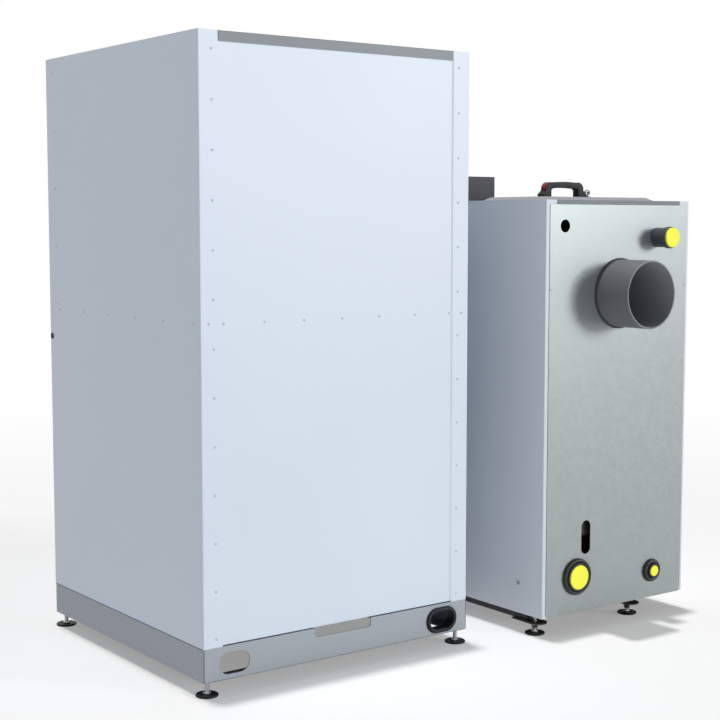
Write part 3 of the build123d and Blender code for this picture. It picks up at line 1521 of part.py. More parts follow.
foot_names = ("front_left", "rear_left", "front_right", "rear_right")
for foot_name, (x, y) in zip(foot_names, foot_spots):
    hopper_foot = levelling_foot(x, y)
    hopper_foot.part.label = "hopper_foot_" + foot_name
    export_step(hopper_foot.part, "parts/hopper_foot_" + foot_name + ".step")
boiler_foot_names = ("front_right", "rear_right", "front_left", "rear_left")
for foot_name, (x, y) in zip(boiler_foot_names, boiler_foot_spots):
    boiler_foot = levelling_foot(x, y)
    boiler_foot.part.label = "boiler_foot_" + foot_name
    export_step(boiler_foot.part, "parts/boiler_foot_" + foot_name + ".step")

# Foot nuts: plain hexagon nuts inside the plinth, tapered bushes under the boiler's brackets
nut_level = plinth_bottom + plinth_sheet
with BuildPart() as foot_nuts:
    with BuildSketch(Plane.XY.offset(nut_level)):
        with Locations(*foot_spots):
            RegularPolygon(nut_across_flats / 2, 6, major_radius=False)
    extrude(amount=nut_height)
    bush_top = base_bottom - bracket_thickness
    upright = (Align.CENTER, Align.CENTER, Align.MIN)
    for x, y in boiler_foot_spots:
        with Locations((x, y, bush_top - bush_height)):
            Cone(bush_radius - bush_taper, bush_radius, bush_height - bush_collar, align=upright)
        with Locations((x, y, bush_top - bush_collar)):
            Cylinder(bush_radius, bush_collar, align=upright)
    with BuildSketch(Plane.XY.offset(foot_rim + foot_hex_height)):
        with Locations(*foot_spots, *boiler_foot_spots):
            Circle(stud_radius + running_clearance)
    extrude(amount=nut_level + nut_height - foot_rim - foot_hex_height, mode=Mode.SUBTRACT)
foot_nuts.part.label = "foot_nuts"
export_step(foot_nuts.part, "parts/foot_nuts.step")


def rivet_heads(face, spots):
    """Low domed rivet heads on a face, given by their places in the face's plane."""
    with BuildSketch(face) as heads:
        with Locations(*spots):
            RegularPolygon(rivet_radius, rivet_sides)
    slope = degrees(atan2(rivet_radius - rivet_crown_radius, rivet_height))
    extrude(heads.sketch, amount=rivet_height, taper=slope)


# Rivets of the hopper: two upright columns and a row at half height on the back, a row and a column on each side
column_levels = [rivet_first + index * rivet_pitch for index in range(rivet_count)]
back_face = Plane(origin=(0, hopper_rear, 0), x_dir=(-1, 0, 0), z_dir=(0, 1, 0))
panel_face = Plane(origin=(0, hopper_rear - casing_sheet, 0), x_dir=(-1, 0, 0), z_dir=(0, 1, 0))
row_half = (mid_row_count - 1) / 2
with BuildPart() as hopper_rivets:
    flange_spots = [(-x, level) for x in (hopper_left + rivet_columns_inset, hopper_right - rivet_columns_inset)
                    for level in column_levels]
    flange_spots += [(-x, mid_row_level) for x in (hopper_left + mid_row_end, hopper_right - mid_row_end)]
    rivet_heads(back_face, flange_spots)
    rivet_heads(
        panel_face,
        [(-(hopper_middle + (index - row_half) * mid_row_pitch), mid_row_level) for index in range(mid_row_count)],
    )
    for outer_x, outward in ((hopper_right, 1), (hopper_left, -1)):
        side_face = Plane(origin=(outer_x, 0, 0), x_dir=(0, outward, 0), z_dir=(outward, 0, 0))
        side_spots = [
            (outward * (hopper_rear - side_row_first - index * side_row_pitch), mid_row_level)
            for index in range(side_row_count)
        ]
        side_spots += [
            (outward * (front + side_column_inset), side_column_first + index * side_column_pitch)
            for index in range(side_column_count)
        ]
        side_spots += [
            (outward * y, level)
            for inset in plinth_screw_insets
            for y in (front + inset, hopper_rear - inset)
            for level in plinth_screw_levels
        ]
        rivet_heads(side_face, side_spots)
hopper_rivets.part.label = "hopper_rivets"
export_step(hopper_rivets.part, "parts/hopper_rivets.step")

# Black plugs that close a fixing hole near the front edge of each side of the hopper
with BuildPart() as side_hole_plugs:
    for outer_x, outward in ((hopper_right, 1), (hopper_left, -1)):
        with BuildSketch(Plane.YZ.offset(outer_x)):
            with Locations((front + side_plug_inset, side_plug_level)):
                Circle(side_plug_radius)
        extrude(amount=outward * casing_sheet)
side_hole_plugs.part.label = "side_hole_plugs"
export_step(side_hole_plugs.part, "parts/side_hole_plugs.step")

# Rivets and screws of the boiler: a column on each edge of the back, one flush screw in each side
with BuildPart() as boiler_rivets:
    boiler_back_face = Plane(origin=(0, boiler_rear, 0), x_dir=(-1, 0, 0), z_dir=(0, 1, 0))
    rivet_heads(
        boiler_back_face,
        [
            (-x, back_rivet_first + index * back_rivet_pitch)
            for x in (boiler_left + back_rivet_inset, boiler_right - back_rivet_inset)
            for index in range(back_rivet_count)
        ],
    )
    for outer_x, inward in ((boiler_right, -1), (boiler_left, 1)):
        with BuildSketch(Plane.YZ.offset(outer_x)):
            with Locations((boiler_rear - side_screw_from_rear, side_screw_level)):
                Circle(side_screw_radius)
        extrude(amount=inward * casing_sheet)
        with BuildSketch(Plane.YZ.offset(outer_x)):
            with Locations((boiler_rear - side_screw_from_rear, side_screw_level)):
                Circle(side_screw_core)
        extrude(amount=inward * side_screw_length)
boiler_rivets.part.label = "boiler_rivets"
export_step(boiler_rivets.part, "parts/boiler_rivets.step")
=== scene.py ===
from math import cos, pi, radians, sin, tau

import bmesh
import bpy
from mathutils import Matrix, Vector


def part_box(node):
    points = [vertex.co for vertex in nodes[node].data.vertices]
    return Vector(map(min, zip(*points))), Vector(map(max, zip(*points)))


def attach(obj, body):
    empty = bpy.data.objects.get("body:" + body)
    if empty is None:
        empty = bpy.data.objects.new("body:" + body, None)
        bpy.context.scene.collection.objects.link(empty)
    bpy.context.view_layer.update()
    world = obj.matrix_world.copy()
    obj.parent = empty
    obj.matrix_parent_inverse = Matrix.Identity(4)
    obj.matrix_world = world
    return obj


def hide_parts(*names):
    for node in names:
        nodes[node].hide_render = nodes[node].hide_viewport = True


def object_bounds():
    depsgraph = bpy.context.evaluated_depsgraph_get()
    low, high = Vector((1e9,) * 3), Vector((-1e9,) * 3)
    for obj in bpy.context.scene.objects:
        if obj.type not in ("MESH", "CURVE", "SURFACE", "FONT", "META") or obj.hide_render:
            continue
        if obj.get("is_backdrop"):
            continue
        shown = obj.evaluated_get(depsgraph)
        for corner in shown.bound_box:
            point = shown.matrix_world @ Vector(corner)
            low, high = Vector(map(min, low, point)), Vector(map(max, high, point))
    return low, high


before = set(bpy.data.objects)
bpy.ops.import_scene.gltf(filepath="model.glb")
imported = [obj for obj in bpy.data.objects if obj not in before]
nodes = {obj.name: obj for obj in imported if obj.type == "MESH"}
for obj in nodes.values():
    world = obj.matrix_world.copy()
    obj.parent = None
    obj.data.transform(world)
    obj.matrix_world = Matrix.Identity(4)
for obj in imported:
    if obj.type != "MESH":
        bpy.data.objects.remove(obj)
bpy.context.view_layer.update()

# The camera stands behind the hopper cabinet, a metre above the floor, and looks a little down on
# the backs of both cabinets. Its lens gives the photograph's own perspective.
camera_place = Vector((2.1415, 2.8303, 0.9697))
camera_turn = radians(36.24)
camera_dip = radians(5.317)
camera_data = bpy.data.cameras.new("camera")
camera_data.sensor_width = 36.0
camera_data.lens = 73.6
camera_data.clip_end = 200.0
camera = bpy.data.objects.new("camera", camera_data)
bpy.context.scene.collection.objects.link(camera)
camera_forward = Vector((
    -sin(camera_turn) * cos(camera_dip),
    -cos(camera_turn) * cos(camera_dip),
    -sin(camera_dip),
))
camera.location = camera_place
camera.rotation_euler = camera_forward.to_track_quat("-Z", "Y").to_euler()
bpy.context.scene.camera = camera
bpy.context.scene.view_settings.view_transform = "Standard"


# The studio floor is one wide white sheet that the cabinets stand on. Close to them it takes their
# shadow, and further off it glows in an even white, as the background does.
class Wire:
    """One value on its way through a finish, so that shader maths reads as plain sums."""

    def __init__(self, tree, socket):
        self.tree = tree
        self.socket = socket

    def node(self, kind, settings, inputs, out=0):
        """Any other node: its settings, then the values or wires of its sockets."""
        made = self.tree.nodes.new(kind)
        for name, value in settings.items():
            setattr(made, name, value)
        for name, value in inputs.items():
            if isinstance(value, Wire):
                self.tree.links.new(value.socket, made.inputs[name])
            else:
                made.inputs[name].default_value = value
        return Wire(self.tree, made.outputs[out])

    def maths(self, operation, first, second):
        return self.node("ShaderNodeMath", {"operation": operation}, {0: first, 1: second})

    def __add__(self, other):
        return self.maths("ADD", self, other)

    def __radd__(self, other):
        return self.maths("ADD", other, self)

    def __sub__(self, other):
        return self.maths("SUBTRACT", self, other)

    def __rsub__(self, other):
        return self.maths("SUBTRACT", other, self)

    def __mul__(self, other):
        return self.maths("MULTIPLY", self, other)

    def __rmul__(self, other):
        return self.maths("MULTIPLY", other, self)

    def over(self, limit):
        """1 where the value is above the limit, 0 elsewhere."""
        return self.maths("GREATER_THAN", self, limit)

    def fade(self, low, high, start=0.0, end=1.0):
        """Turns the range from low to high into start to end, held at both ends."""
        return self.node("ShaderNodeMapRange", {"clamp": True}, {
            "Value": self, "From Min": low, "From Max": high, "To Min": start, "To Max": end,
        })

    def tint(self, first, second):
        """A colour between two colours, by this value from 0 to 1."""
        first, second = (
            colour if isinstance(colour, Wire) else (*colour, 1.0) for colour in (first, second)
        )
        return self.node(
            "ShaderNodeMix", {"data_type": "RGBA"}, {0: self, 6: first, 7: second}, out=2
        )

    def stretched(self, x, y, z):
        """Coordinates stretched along each axis, for grain that runs one way."""
        return self.node("ShaderNodeMapping", {}, {"Vector": self, "Scale": (x, y, z)})

    def noise(self, scale, detail=2.0):
        return self.node(
            "ShaderNodeTexNoise", {}, {"Vector": self, "Scale": scale, "Detail": detail}
        )

    def relief(self, height, strength):
        """This value as a height in metres that turns the surface's normal."""
        return self.node(
            "ShaderNodeBump", {}, {"Strength": strength, "Distance": height, "Height": self}
        )

    def into(self, shader, name):
        self.tree.links.new(self.socket, shader.inputs[name])


def srgb(red, green, blue):
    """A colour given as 0 to 255 on screen, as the shader wants it."""
    levels = (red / 255, green / 255, blue / 255)
    return tuple(v / 12.92 if v <= 0.04045 else ((v + 0.055) / 1.055) ** 2.4 for v in levels)


def new_finish(name, colour, roughness, **fixed):
    """A finish to be detailed: its material, its shader, and the object coordinates as a wire."""
    material = bpy.data.materials.new(name)
    material.use_nodes = True
    tree = material.node_tree
    shader = tree.nodes["Principled BSDF"]
    shader.inputs["Base Color"].default_value = (*colour, 1.0)
    shader.inputs["Roughness"].default_value = roughness
    for socket, value in fixed.items():
        shader.inputs[socket.replace("_", " ")].default_value = value
    place = Wire(tree, tree.nodes.new("ShaderNodeTexCoord").outputs["Object"])
    return material, shader, place


def background_seen(tree):
    """1 for what the camera sees as background, by itself or through metal and glass."""
    path = tree.nodes.new("ShaderNodeLightPath")
    seen, mirrored, through = (
        Wire(tree, path.outputs[ray])
        for ray in ("Is Camera Ray", "Is Glossy Ray", "Is Transmission Ray")
    )
    return (seen + mirrored + through).over(0.5)


def clear_selection():
    if bpy.context.mode != "OBJECT":
        bpy.ops.object.mode_set(mode="OBJECT")
    bpy.ops.object.select_all(action="DESELECT")


glow_start = 1.3
glow_full = 4.5
glow_least = 0.29
floor_finish, floor_shader, place = new_finish(
    "studio_floor", (0.90, 0.90, 0.89), 0.9, Specular_IOR_Level=0.0
)
cloud = place.noise(3.0).fade(0.3, 0.7)
cloud.tint((0.895, 0.89, 0.883), (0.905, 0.90, 0.893)).into(floor_shader, "Base Color")
floor_tree = floor_finish.node_tree
reach = place.node("ShaderNodeVectorMath", {"operation": "LENGTH"}, {0: place}, out=1)
glow = reach.fade(glow_start, glow_full, glow_least, 1.0)
white = place.node("ShaderNodeEmission", {}, {"Strength": 1.0})
lit_floor = white.node("ShaderNodeMixShader", {}, {
    0: background_seen(floor_tree) * glow,
    1: Wire(floor_tree, floor_shader.outputs[0]),
    2: white,
})
lit_floor.into(floor_tree.nodes["Material Output"], "Surface")
clear_selection()
bpy.ops.mesh.primitive_plane_add(size=160.0, location=(0.0, 0.0, 0.0))
floor = bpy.context.object
floor.name = "studio_floor"
floor.data.materials.append(floor_finish)
floor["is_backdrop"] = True

# Studio light: a lamp overhead that draws the shadows, a softer one low on the camera's right, and
# an even grey room all round, which metal and glass mirror as white.
for name, energy, spread, direction in (
    ("overhead", 2.23, 2.0, (0.0, 0.048, -1.0)),
    ("side", 1.42, 16.0, (0.60, -0.78, -0.17)),
):
    light = bpy.data.lights.new(name, "SUN")
    light.energy = energy
    light.angle = radians(spread)
    lamp = bpy.data.objects.new(name, light)
    bpy.context.scene.collection.objects.link(lamp)
    lamp.rotation_euler = Vector(direction).to_track_quat("-Z", "Y").to_euler()

room = bpy.data.worlds.new("room")
room.use_nodes = True
bpy.context.scene.world = room
room_colour = background_seen(room.node_tree).tint((0.168, 0.176, 0.188), (1.0, 1.0, 1.0))
room_colour.into(room.node_tree.nodes["Background"], "Color")


# Casing panels of both cabinets: folded sheet steel under a white powder coat with a bluish cast,
# baked on, so it has a fine orange-peel skin and a satin sheen.
def powder_coat(name, colour, shade, roughness):
    """A baked powder coat: the colour drifts a little over a panel, and the skin has fine peel."""
    finish, shader, place = new_finish(name, colour, roughness)
    drift = place.noise(2.2, 3.0).fade(0.3, 0.7)
    speck = place.noise(700.0).fade(0.35, 0.65)
    (drift * 0.8 + speck * 0.2).tint(shade, colour).into(shader, "Base Color")
    (speck * 0.07 + drift * 0.05 + (roughness - 0.06)).into(shader, "Roughness")
    peel = place.noise(420.0) + place.noise(1500.0, 1.0) * 0.35
    peel.relief(0.00006, 0.55).into(shader, "Normal")
    return finish


def dress(finish, *names):
    """Gives CAD nodes their finish."""
    for name in names:
        mesh = nodes[name].data
        mesh.materials.clear()
        mesh.materials.append(finish)


casing_white = powder_coat("casing_white", srgb(220, 230, 243), srgb(216, 226, 239), 0.42)
dress(
    casing_white,
    "hopper_side_left", "hopper_side_right", "hopper_rear_panel", "hopper_front_panel",
    "hopper_lid", "boiler_door", "ash_drawer",
)

# Plinth, top frames and cleaning cover: the same folded sheet under grey powder coats, baked on.
# The greys differ a little. The frames that close the cabinets on top are painted darkest, as
# painted shade along those top edges.
for name, colour, shade, node in (
    ("frame_grey", (165, 173, 181), (160, 168, 176), "hopper_plinth"),
    ("cover_grey", (150, 151, 158), (145, 146, 153), "cleaning_cover"),
    ("strip_grey", (120, 127, 134), (115, 122, 129), "hopper_top_frame"),
    ("top_grey", (109, 115, 125), (105, 111, 121), "boiler_top_cover"),
):
    dress(powder_coat(name, srgb(*colour), srgb(*shade), 0.45), node)


# Funnel and feed tube: zinc-coated steel sheet, folded to a hopper and rolled to a pipe. The zinc
# froze in flat crystals, and the rolling mill left faint lines along the sheet.
def zinc_sheet(name, colour, dark, along, metal):
    """A zinc coat over rolled sheet, whose grain is stretched along the axes."""
    finish, shader, place = new_finish(name, colour, 0.32, Metallic=metal)
    crystal = place.node(
        "ShaderNodeTexVoronoi", {"feature": "F1"}, {"Vector": place, "Scale": 95.0}, out=1
    )
    grey = crystal.node("ShaderNodeSeparateColor", {}, {"Color": crystal})
    lines = place.stretched(*along).noise(60.0, 3.0).fade(0.3, 0.7)
    drift = place.noise(1.6).fade(0.3, 0.7)
    (grey * 0.25 + lines * 0.45 + drift * 0.3).tint(dark, colour).into(shader, "Base Color")
    (grey * 0.05 + lines * 0.05 + 0.285).into(shader, "Roughness")
    (lines + grey * 0.3).relief(0.00003, 0.5).into(shader, "Normal")
    return finish


funnel_zinc = zinc_sheet(
    "funnel_zinc", srgb(188, 193, 194), srgb(176, 181, 183), (14.0, 1.0, 1.0), 0.8
)
dress(funnel_zinc, "hopper_funnel", "feed_tube")


# Base tray, front frame, vessel, firebox and blower: welded or folded steel under a heat-resistant
# dark paint, sprayed on thin, so it is matt with a fine dry grain.
def dark_paint(name, colour, worn, roughness, gloss=0.5):
    """A matt heat-resistant paint, with fine grain and faint clouds where it has worn."""
    finish, shader, place = new_finish(name, colour, roughness, Specular_IOR_Level=gloss)
    grain = place.noise(900.0, 3.0).fade(0.35, 0.65)
    cloud = place.noise(14.0, 4.0).fade(0.3, 0.7)
    (grain * 0.5 + cloud * 0.5).tint(colour, worn).into(shader, "Base Color")
    (grain * 0.12 + cloud * 0.06 + (roughness - 0.09)).into(shader, "Roughness")
    grain.relief(0.00008, 0.6).into(shader, "Normal")
    return finish


base_black = dark_paint("base_black", srgb(30, 30, 32), srgb(38, 38, 40), 0.6)
# The blower's housing, wheel and motor take this black too, as painted shade that keeps the slot in
# front of them dark.
dress(
    base_black,
    "boiler_base", "boiler_front_frame", "boiler_vessel", "blower_housing", "blower_wheel",
    "blower_motor",
)
boiler_steel = dark_paint("boiler_steel", srgb(84, 88, 92), srgb(90, 94, 98), 0.55)
dress(boiler_steel, "firebox", "heat_exchanger")

# Feed auger and hinge pins: bright turned steel, ground to size, with turning marks round the
# shaft. The pellets have left a little soot on it.
turned_steel, shader, place = new_finish("turned_steel", srgb(178, 178, 180), 0.32, Metallic=1.0)
marks = place.stretched(1.0, 0.05, 0.05).noise(900.0).fade(0.3, 0.7)
soot = place.noise(18.0, 4.0).fade(0.35, 0.7)
steel_colour = (marks * 0.6 + soot * 0.4).tint(srgb(160, 160, 162), srgb(188, 188, 190))
steel_colour.into(shader, "Base Color")
(marks * 0.12 + soot * 0.12 + 0.24).into(shader, "Roughness")
marks.relief(0.00004, 0.5).into(shader, "Normal")
dress(turned_steel, "feed_auger", "hinge_pins")

# Burner pot: sand-cast iron, set loose on the hearth plate, dark, coarse and dry, with a little
# rust bloom where the heat has burnt off its skin.
cast_iron, shader, place = new_finish("cast_iron", srgb(72, 70, 69), 0.75, Metallic=0.3)
sand = place.noise(380.0, 4.0).fade(0.3, 0.7)
bloom = place.noise(26.0, 5.0).fade(0.52, 0.72)
sand_colour = sand.tint(srgb(62, 61, 61), srgb(84, 82, 81))
bloom.tint(sand_colour, srgb(104, 82, 68)).into(shader, "Base Color")
(sand * 0.2 + 0.62).into(shader, "Roughness")
sand.relief(0.0003, 0.8).into(shader, "Normal")
dress(cast_iron, "burner_pot")

# Gear motor: a housing of cast aluminium on the end of the feed tube, bead-blasted to an even grey
# skin and left unpainted.
motor_grey, shader, place = new_finish("motor_grey", srgb(150, 153, 157), 0.5, Metallic=0.6)
blast = place.noise(650.0, 3.0).fade(0.3, 0.7)
cloud = place.noise(20.0, 3.0).fade(0.3, 0.7)
motor_colour = (blast * 0.5 + cloud * 0.5).tint(srgb(138, 141, 146), srgb(162, 165, 168))
motor_colour.into(shader, "Base Color")
(blast * 0.15 + 0.42).into(shader, "Roughness")
blast.relief(0.00012, 0.6).into(shader, "Normal")
dress(motor_grey, "gear_motor")

# Door liner: an insulating board behind the door, held in a skin of dark steel that the fire has
# dulled and browned.
door_black = dark_paint("door_black", srgb(58, 57, 57), srgb(78, 74, 70), 0.7)
dress(door_black, "door_liner")

# Rivets of both cabinets: blind rivets, each a low dome with the dimple of its drawn mandrel. Those
# of the hopper are painted over with the casing, in a greyer tint than the casing's white that
# stands in as painted shade on the domes; those of the boiler are bright zinc. A screw in a cup
# washer sits flush in each side of the boiler.
rivet_radius = 0.0028
rivet_height = 0.0009
rivet_rings = ((0.32, 0.5), (0.22, 0.16), (0.12, -0.3))
smallest_screw = 0.008


def loose_parts(node):
    """Lowest and highest corner of each separate solid in a CAD node."""
    work = bmesh.new()
    work.from_mesh(nodes[node].data)
    bmesh.ops.remove_doubles(work, verts=work.verts, dist=1e-6)
    found = set()
    corners = []
    for start in work.verts:
        if start in found:
            continue
        found.add(start)
        part = []
        to_follow = [start]
        while to_follow:
            vert = to_follow.pop()
            part.append(vert.co.copy())
            for edge in vert.link_edges:
                other = edge.other_vert(vert)
                if other not in found:
                    found.add(other)
                    to_follow.append(other)
        corners.append((
            Vector([min(co[axis] for co in part) for axis in range(3)]),
            Vector([max(co[axis] for co in part) for axis in range(3)]),
        ))
    work.free()
    return corners


def pick(piece, test, kind="faces"):
    """Selects in edit mode the faces or edges that pass the test."""
    bpy.ops.mesh.select_mode(type="FACE" if kind == "faces" else "EDGE")
    bpy.ops.mesh.select_all(action="DESELECT")
    work = bmesh.from_edit_mesh(piece.data)
    for item in getattr(work, kind):
        if test(item):
            item.select_set(True)
    work.select_flush_mode()
    bmesh.update_edit_mesh(piece.data)


def placed(piece, name):
    """Names a piece and puts its place into its mesh."""
    if bpy.context.mode != "OBJECT":
        bpy.ops.object.mode_set(mode="OBJECT")
    piece.name = name
    piece.data.name = name
    piece.data.transform(piece.matrix_basis)
    piece.matrix_basis = Matrix.Identity(4)
    return piece


def smooth(piece, angle=35.0):
    clear_selection()
    piece.select_set(True)
    bpy.context.view_layer.objects.active = piece
    bpy.ops.object.shade_smooth_by_angle(angle=radians(angle))
    return piece


def joined(pieces, name):
    """Several pieces made one, as parts that come together in one moulding or one row."""
    clear_selection()
    for piece in pieces:
        piece.select_set(True)
    bpy.context.view_layer.objects.active = pieces[0]
    bpy.ops.object.join()
    return placed(bpy.context.object, name)


def turned(name, outline, sides, hollow=False):
    """A turned piece about Z: a ring drawn from one (radius, height) to the next. A hollow one ends
    where it began, and any other has both its ends filled."""
    clear_selection()
    (radius, height), *rest = outline
    bpy.ops.mesh.primitive_circle_add(
        vertices=sides, radius=radius, location=(0.0, 0.0, 0.0),
        fill_type="NOTHING" if hollow else "NGON",
    )
    piece = bpy.context.object
    bpy.ops.object.mode_set(mode="EDIT")
    pick(piece, lambda edge: True, "edges")
    bpy.ops.transform.translate(value=(0.0, 0.0, height))
    for next_radius, next_height in rest:
        step = (0.0, 0.0, next_height - height)
        bpy.ops.mesh.extrude_edges_move(TRANSFORM_OT_translate={"value": step})
        grow = next_radius / radius
        bpy.ops.transform.resize(
            value=(grow, grow, 1.0), center_override=(0.0, 0.0, next_height)
        )
        radius, height = next_radius, next_height
    if not hollow:
        bpy.ops.mesh.edge_face_add()
    bpy.ops.mesh.select_all(action="SELECT")
    bpy.ops.mesh.remove_doubles(threshold=1e-6)
    bpy.ops.mesh.normals_make_consistent(inside=False)
    return placed(piece, name)


def copied(piece, name, matrix):
    """A copy with its own mesh, put in its place."""
    twin = bpy.data.objects.new(name, piece.data.copy())
    twin.data.name = name
    bpy.context.scene.collection.objects.link(twin)
    twin.data.transform(matrix)
    return twin


clear_selection()
bpy.ops.mesh.primitive_cylinder_add(
    vertices=12, radius=rivet_radius, depth=rivet_height / 3, location=(0.0, 0.0, rivet_height / 6)
)
rivet = bpy.context.object
bpy.ops.object.mode_set(mode="EDIT")
pick(rivet, lambda face: face.normal.z > 0.9)
for width, rise in rivet_rings:
    bpy.ops.mesh.inset(thickness=rivet_radius * width, depth=rivet_height * rise)
rivet = smooth(placed(rivet, "rivet"), 50.0)
cup_screw = smooth(turned("cup_screw", [
    (0.0025, -0.0120), (0.0025, -0.0015), (0.0060, -0.0015), (0.0060, -0.0002), (0.0058, 0.0),
    (0.0052, 0.0), (0.0046, -0.0004), (0.0040, -0.0010), (0.0038, -0.0008), (0.0034, -0.0003),
    (0.0026, -0.0001), (0.0019, -0.0001), (0.0017, -0.0009), (0.0008, -0.0009),
], 36))
# A greyer tint than the casing white: painted shade, so that the painted-over rivet heads show.
rivet_paint = powder_coat("rivet_paint", srgb(190, 200, 212), srgb(184, 194, 206), 0.4)
rivet_zinc = zinc_sheet(
    "rivet_zinc", srgb(172, 176, 180), srgb(164, 168, 172), (1.0, 1.0, 1.0), 0.15
)
for node, cabinet, finish, slot in (
    ("hopper_rivets", "hopper_plinth", rivet_paint, "casing_white"),
    ("boiler_rivets", "boiler_rear_panel", rivet_zinc, "zinc"),
):
    cabinet_low, cabinet_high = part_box(cabinet)
    heads = []
    for low, high in loose_parts(node):
        middle = (low + high) / 2
        is_screw = high.z - low.z > smallest_screw
        thin = 0 if is_screw else min(range(3), key=lambda axis: high[axis] - low[axis])
        outward = Vector((0.0, 0.0, 0.0))
        if thin == 1:
            outward.y = 1.0
        else:
            outward.x = 1.0 if middle.x > (cabinet_low.x + cabinet_high.x) / 2 else -1.0
        seat = middle.copy()
        seat[thin] = low[thin] if (outward[thin] > 0) != is_screw else high[thin]
        turn = Matrix.Translation(seat) @ outward.to_track_quat("Z", "Y").to_matrix().to_4x4()
        heads.append(copied(cup_screw if is_screw else rivet, "head", turn))
        heads[-1].data.materials.append(finish)
    row = joined(heads, node + "_domed")
    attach(row, "cabinets")
    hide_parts(node)
for model in (rivet, cup_screw):
    bpy.data.objects.remove(model)


# Levelling feet: a black pad moulded on a zinc-plated stud, which is screwed up into the cabinet.
# The pad is a low dish. The stud has a hexagon for the spanner and a rolled metric thread.
def dusty_rubber(name, colour, dusty, roughness, gloss):
    """Rubber or a soft plastic: a matt skin with a film of dust."""
    finish, shader, place = new_finish(name, colour, roughness, Specular_IOR_Level=gloss)
    dust = place.noise(45.0, 5.0).fade(0.4, 0.75)
    skin = place.noise(1100.0).fade(0.35, 0.65)
    (dust * 0.7 + skin * 0.3).tint(colour, dusty).into(shader, "Base Color")
    (skin * 0.1 + dust * 0.1 + (roughness - 0.08)).into(shader, "Roughness")
    skin.relief(0.00005, 0.5).into(shader, "Normal")
    return finish


def hexagon(name, half_width, depth, height, chamfer):
    """The hexagon of a nut with chamfered ends. Its half width is from the axis to a flat."""
    clear_selection()
    bpy.ops.mesh.primitive_cylinder_add(
        vertices=6, radius=half_width / cos(pi / 6), depth=depth, location=(0.0, 0.0, height)
    )
    piece = bpy.context.object
    bpy.ops.object.mode_set(mode="EDIT")
    pick(piece, lambda edge: abs(edge.verts[0].co.z - edge.verts[1].co.z) < 1e-6, "edges")
    bpy.ops.mesh.bevel(offset=chamfer, segments=2, profile=0.5)
    return placed(piece, name)


sleeve_black = dusty_rubber("sleeve_black", srgb(30, 32, 33), srgb(38, 40, 41), 0.48, 0.2)
zinc_plate, shader, place = new_finish("zinc_plate", srgb(196, 197, 200), 0.3, Metallic=1.0)
haze = place.noise(60.0, 4.0).fade(0.3, 0.7)
haze.tint(srgb(182, 184, 188), srgb(206, 206, 207)).into(shader, "Base Color")
(haze * 0.16 + 0.22).into(shader, "Roughness")
place.noise(800.0).relief(0.00003, 0.4).into(shader, "Normal")

pad = turned("pad", [
    (0.0205, 0.0), (0.0222, 0.0), (0.0235, 0.0006), (0.0240, 0.0017), (0.0239, 0.0030),
    (0.0233, 0.0042), (0.0222, 0.0049), (0.0208, 0.0050), (0.0196, 0.0047), (0.0180, 0.0043),
    (0.0130, 0.0043), (0.0108, 0.0046), (0.0094, 0.0050), (0.0052, 0.0050),
], 48)
spanner_flats = hexagon("spanner_flats", 0.0075, 0.004, 0.007, 0.0007)
core = turned("core", [(0.0043, 0.0050), (0.0043, 0.0555), (0.0038, 0.0560)], 20)

thread_pitch = 0.0015
thread_start = 0.0085
thread_turns = 31
thread_outline = ((0.0043, 0.0), (0.0050, 0.00055), (0.0050, 0.00095), (0.0043, thread_pitch))
clear_selection()
bpy.ops.mesh.primitive_plane_add(size=0.001, location=(0.0, 0.0, 0.0))
thread = bpy.context.object
bpy.ops.object.mode_set(mode="EDIT")
work = bmesh.from_edit_mesh(thread.data)
for vert, (radius, height) in zip(list(work.verts), thread_outline):
    vert.co = Vector((radius, 0.0, height))
for face in list(work.faces):
    work.faces.remove(face)
for edge in list(work.edges):
    work.edges.remove(edge)
work.verts.ensure_lookup_table()
for first, second in ((0, 1), (1, 2), (2, 3)):
    work.edges.new((work.verts[first], work.verts[second]))
bmesh.update_edit_mesh(thread.data)
bpy.ops.object.mode_set(mode="OBJECT")
winding = thread.modifiers.new("winding", "SCREW")
winding.axis = "Z"
winding.angle = tau
winding.screw_offset = thread_pitch
winding.iterations = thread_turns
winding.steps = winding.render_steps = 20
winding.use_merge_vertices = True
winding.merge_threshold = 1e-6
bpy.ops.object.modifier_apply(modifier="winding")
thread.data.transform(Matrix.Translation((0.0, 0.0, thread_start)))

pad.data.materials.append(sleeve_black)
for part in (spanner_flats, thread, core):
    part.data.materials.append(zinc_plate)
foot = smooth(joined([pad, spanner_flats, thread, core], "foot"))
for node in [name for name in nodes if "_foot_" in name]:
    low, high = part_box(node)
    middle = (low + high) / 2
    own_foot = copied(foot, node + "_moulded", Matrix.Translation((middle.x, middle.y, 0.0)))
    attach(own_foot, "foot_" + node.replace("_foot", ""))
    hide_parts(node)
bpy.data.objects.remove(foot)

# Foot nuts: hexagon nuts welded inside the plinth, and tapered bushes pressed into the boiler's
# base, all of steel and zinc plated.
nut = hexagon("nut", 0.0085, 0.007, 0.0380, 0.0009)
bush = turned("bush", [
    (0.0052, 0.0140), (0.0061, 0.0140), (0.0065, 0.0144), (0.0107, 0.0261), (0.0110, 0.0267),
    (0.0110, 0.0280),
], 40)
plinth_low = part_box("hopper_plinth")[0]
nuts = []
for low, high in loose_parts("foot_nuts"):
    middle = (low + high) / 2
    model = nut if middle.x > plinth_low.x else bush
    model_top = model.bound_box[1][2]
    seat = Matrix.Translation((middle.x, middle.y, high.z - model_top))
    nuts.append(copied(model, "nut", seat))
    nuts[-1].data.materials.append(zinc_plate)
for model in (nut, bush):
    bpy.data.objects.remove(model)
foot_nuts = smooth(joined(nuts, "foot_nuts_chamfered"))
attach(foot_nuts, "cabinets")
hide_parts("foot_nuts")


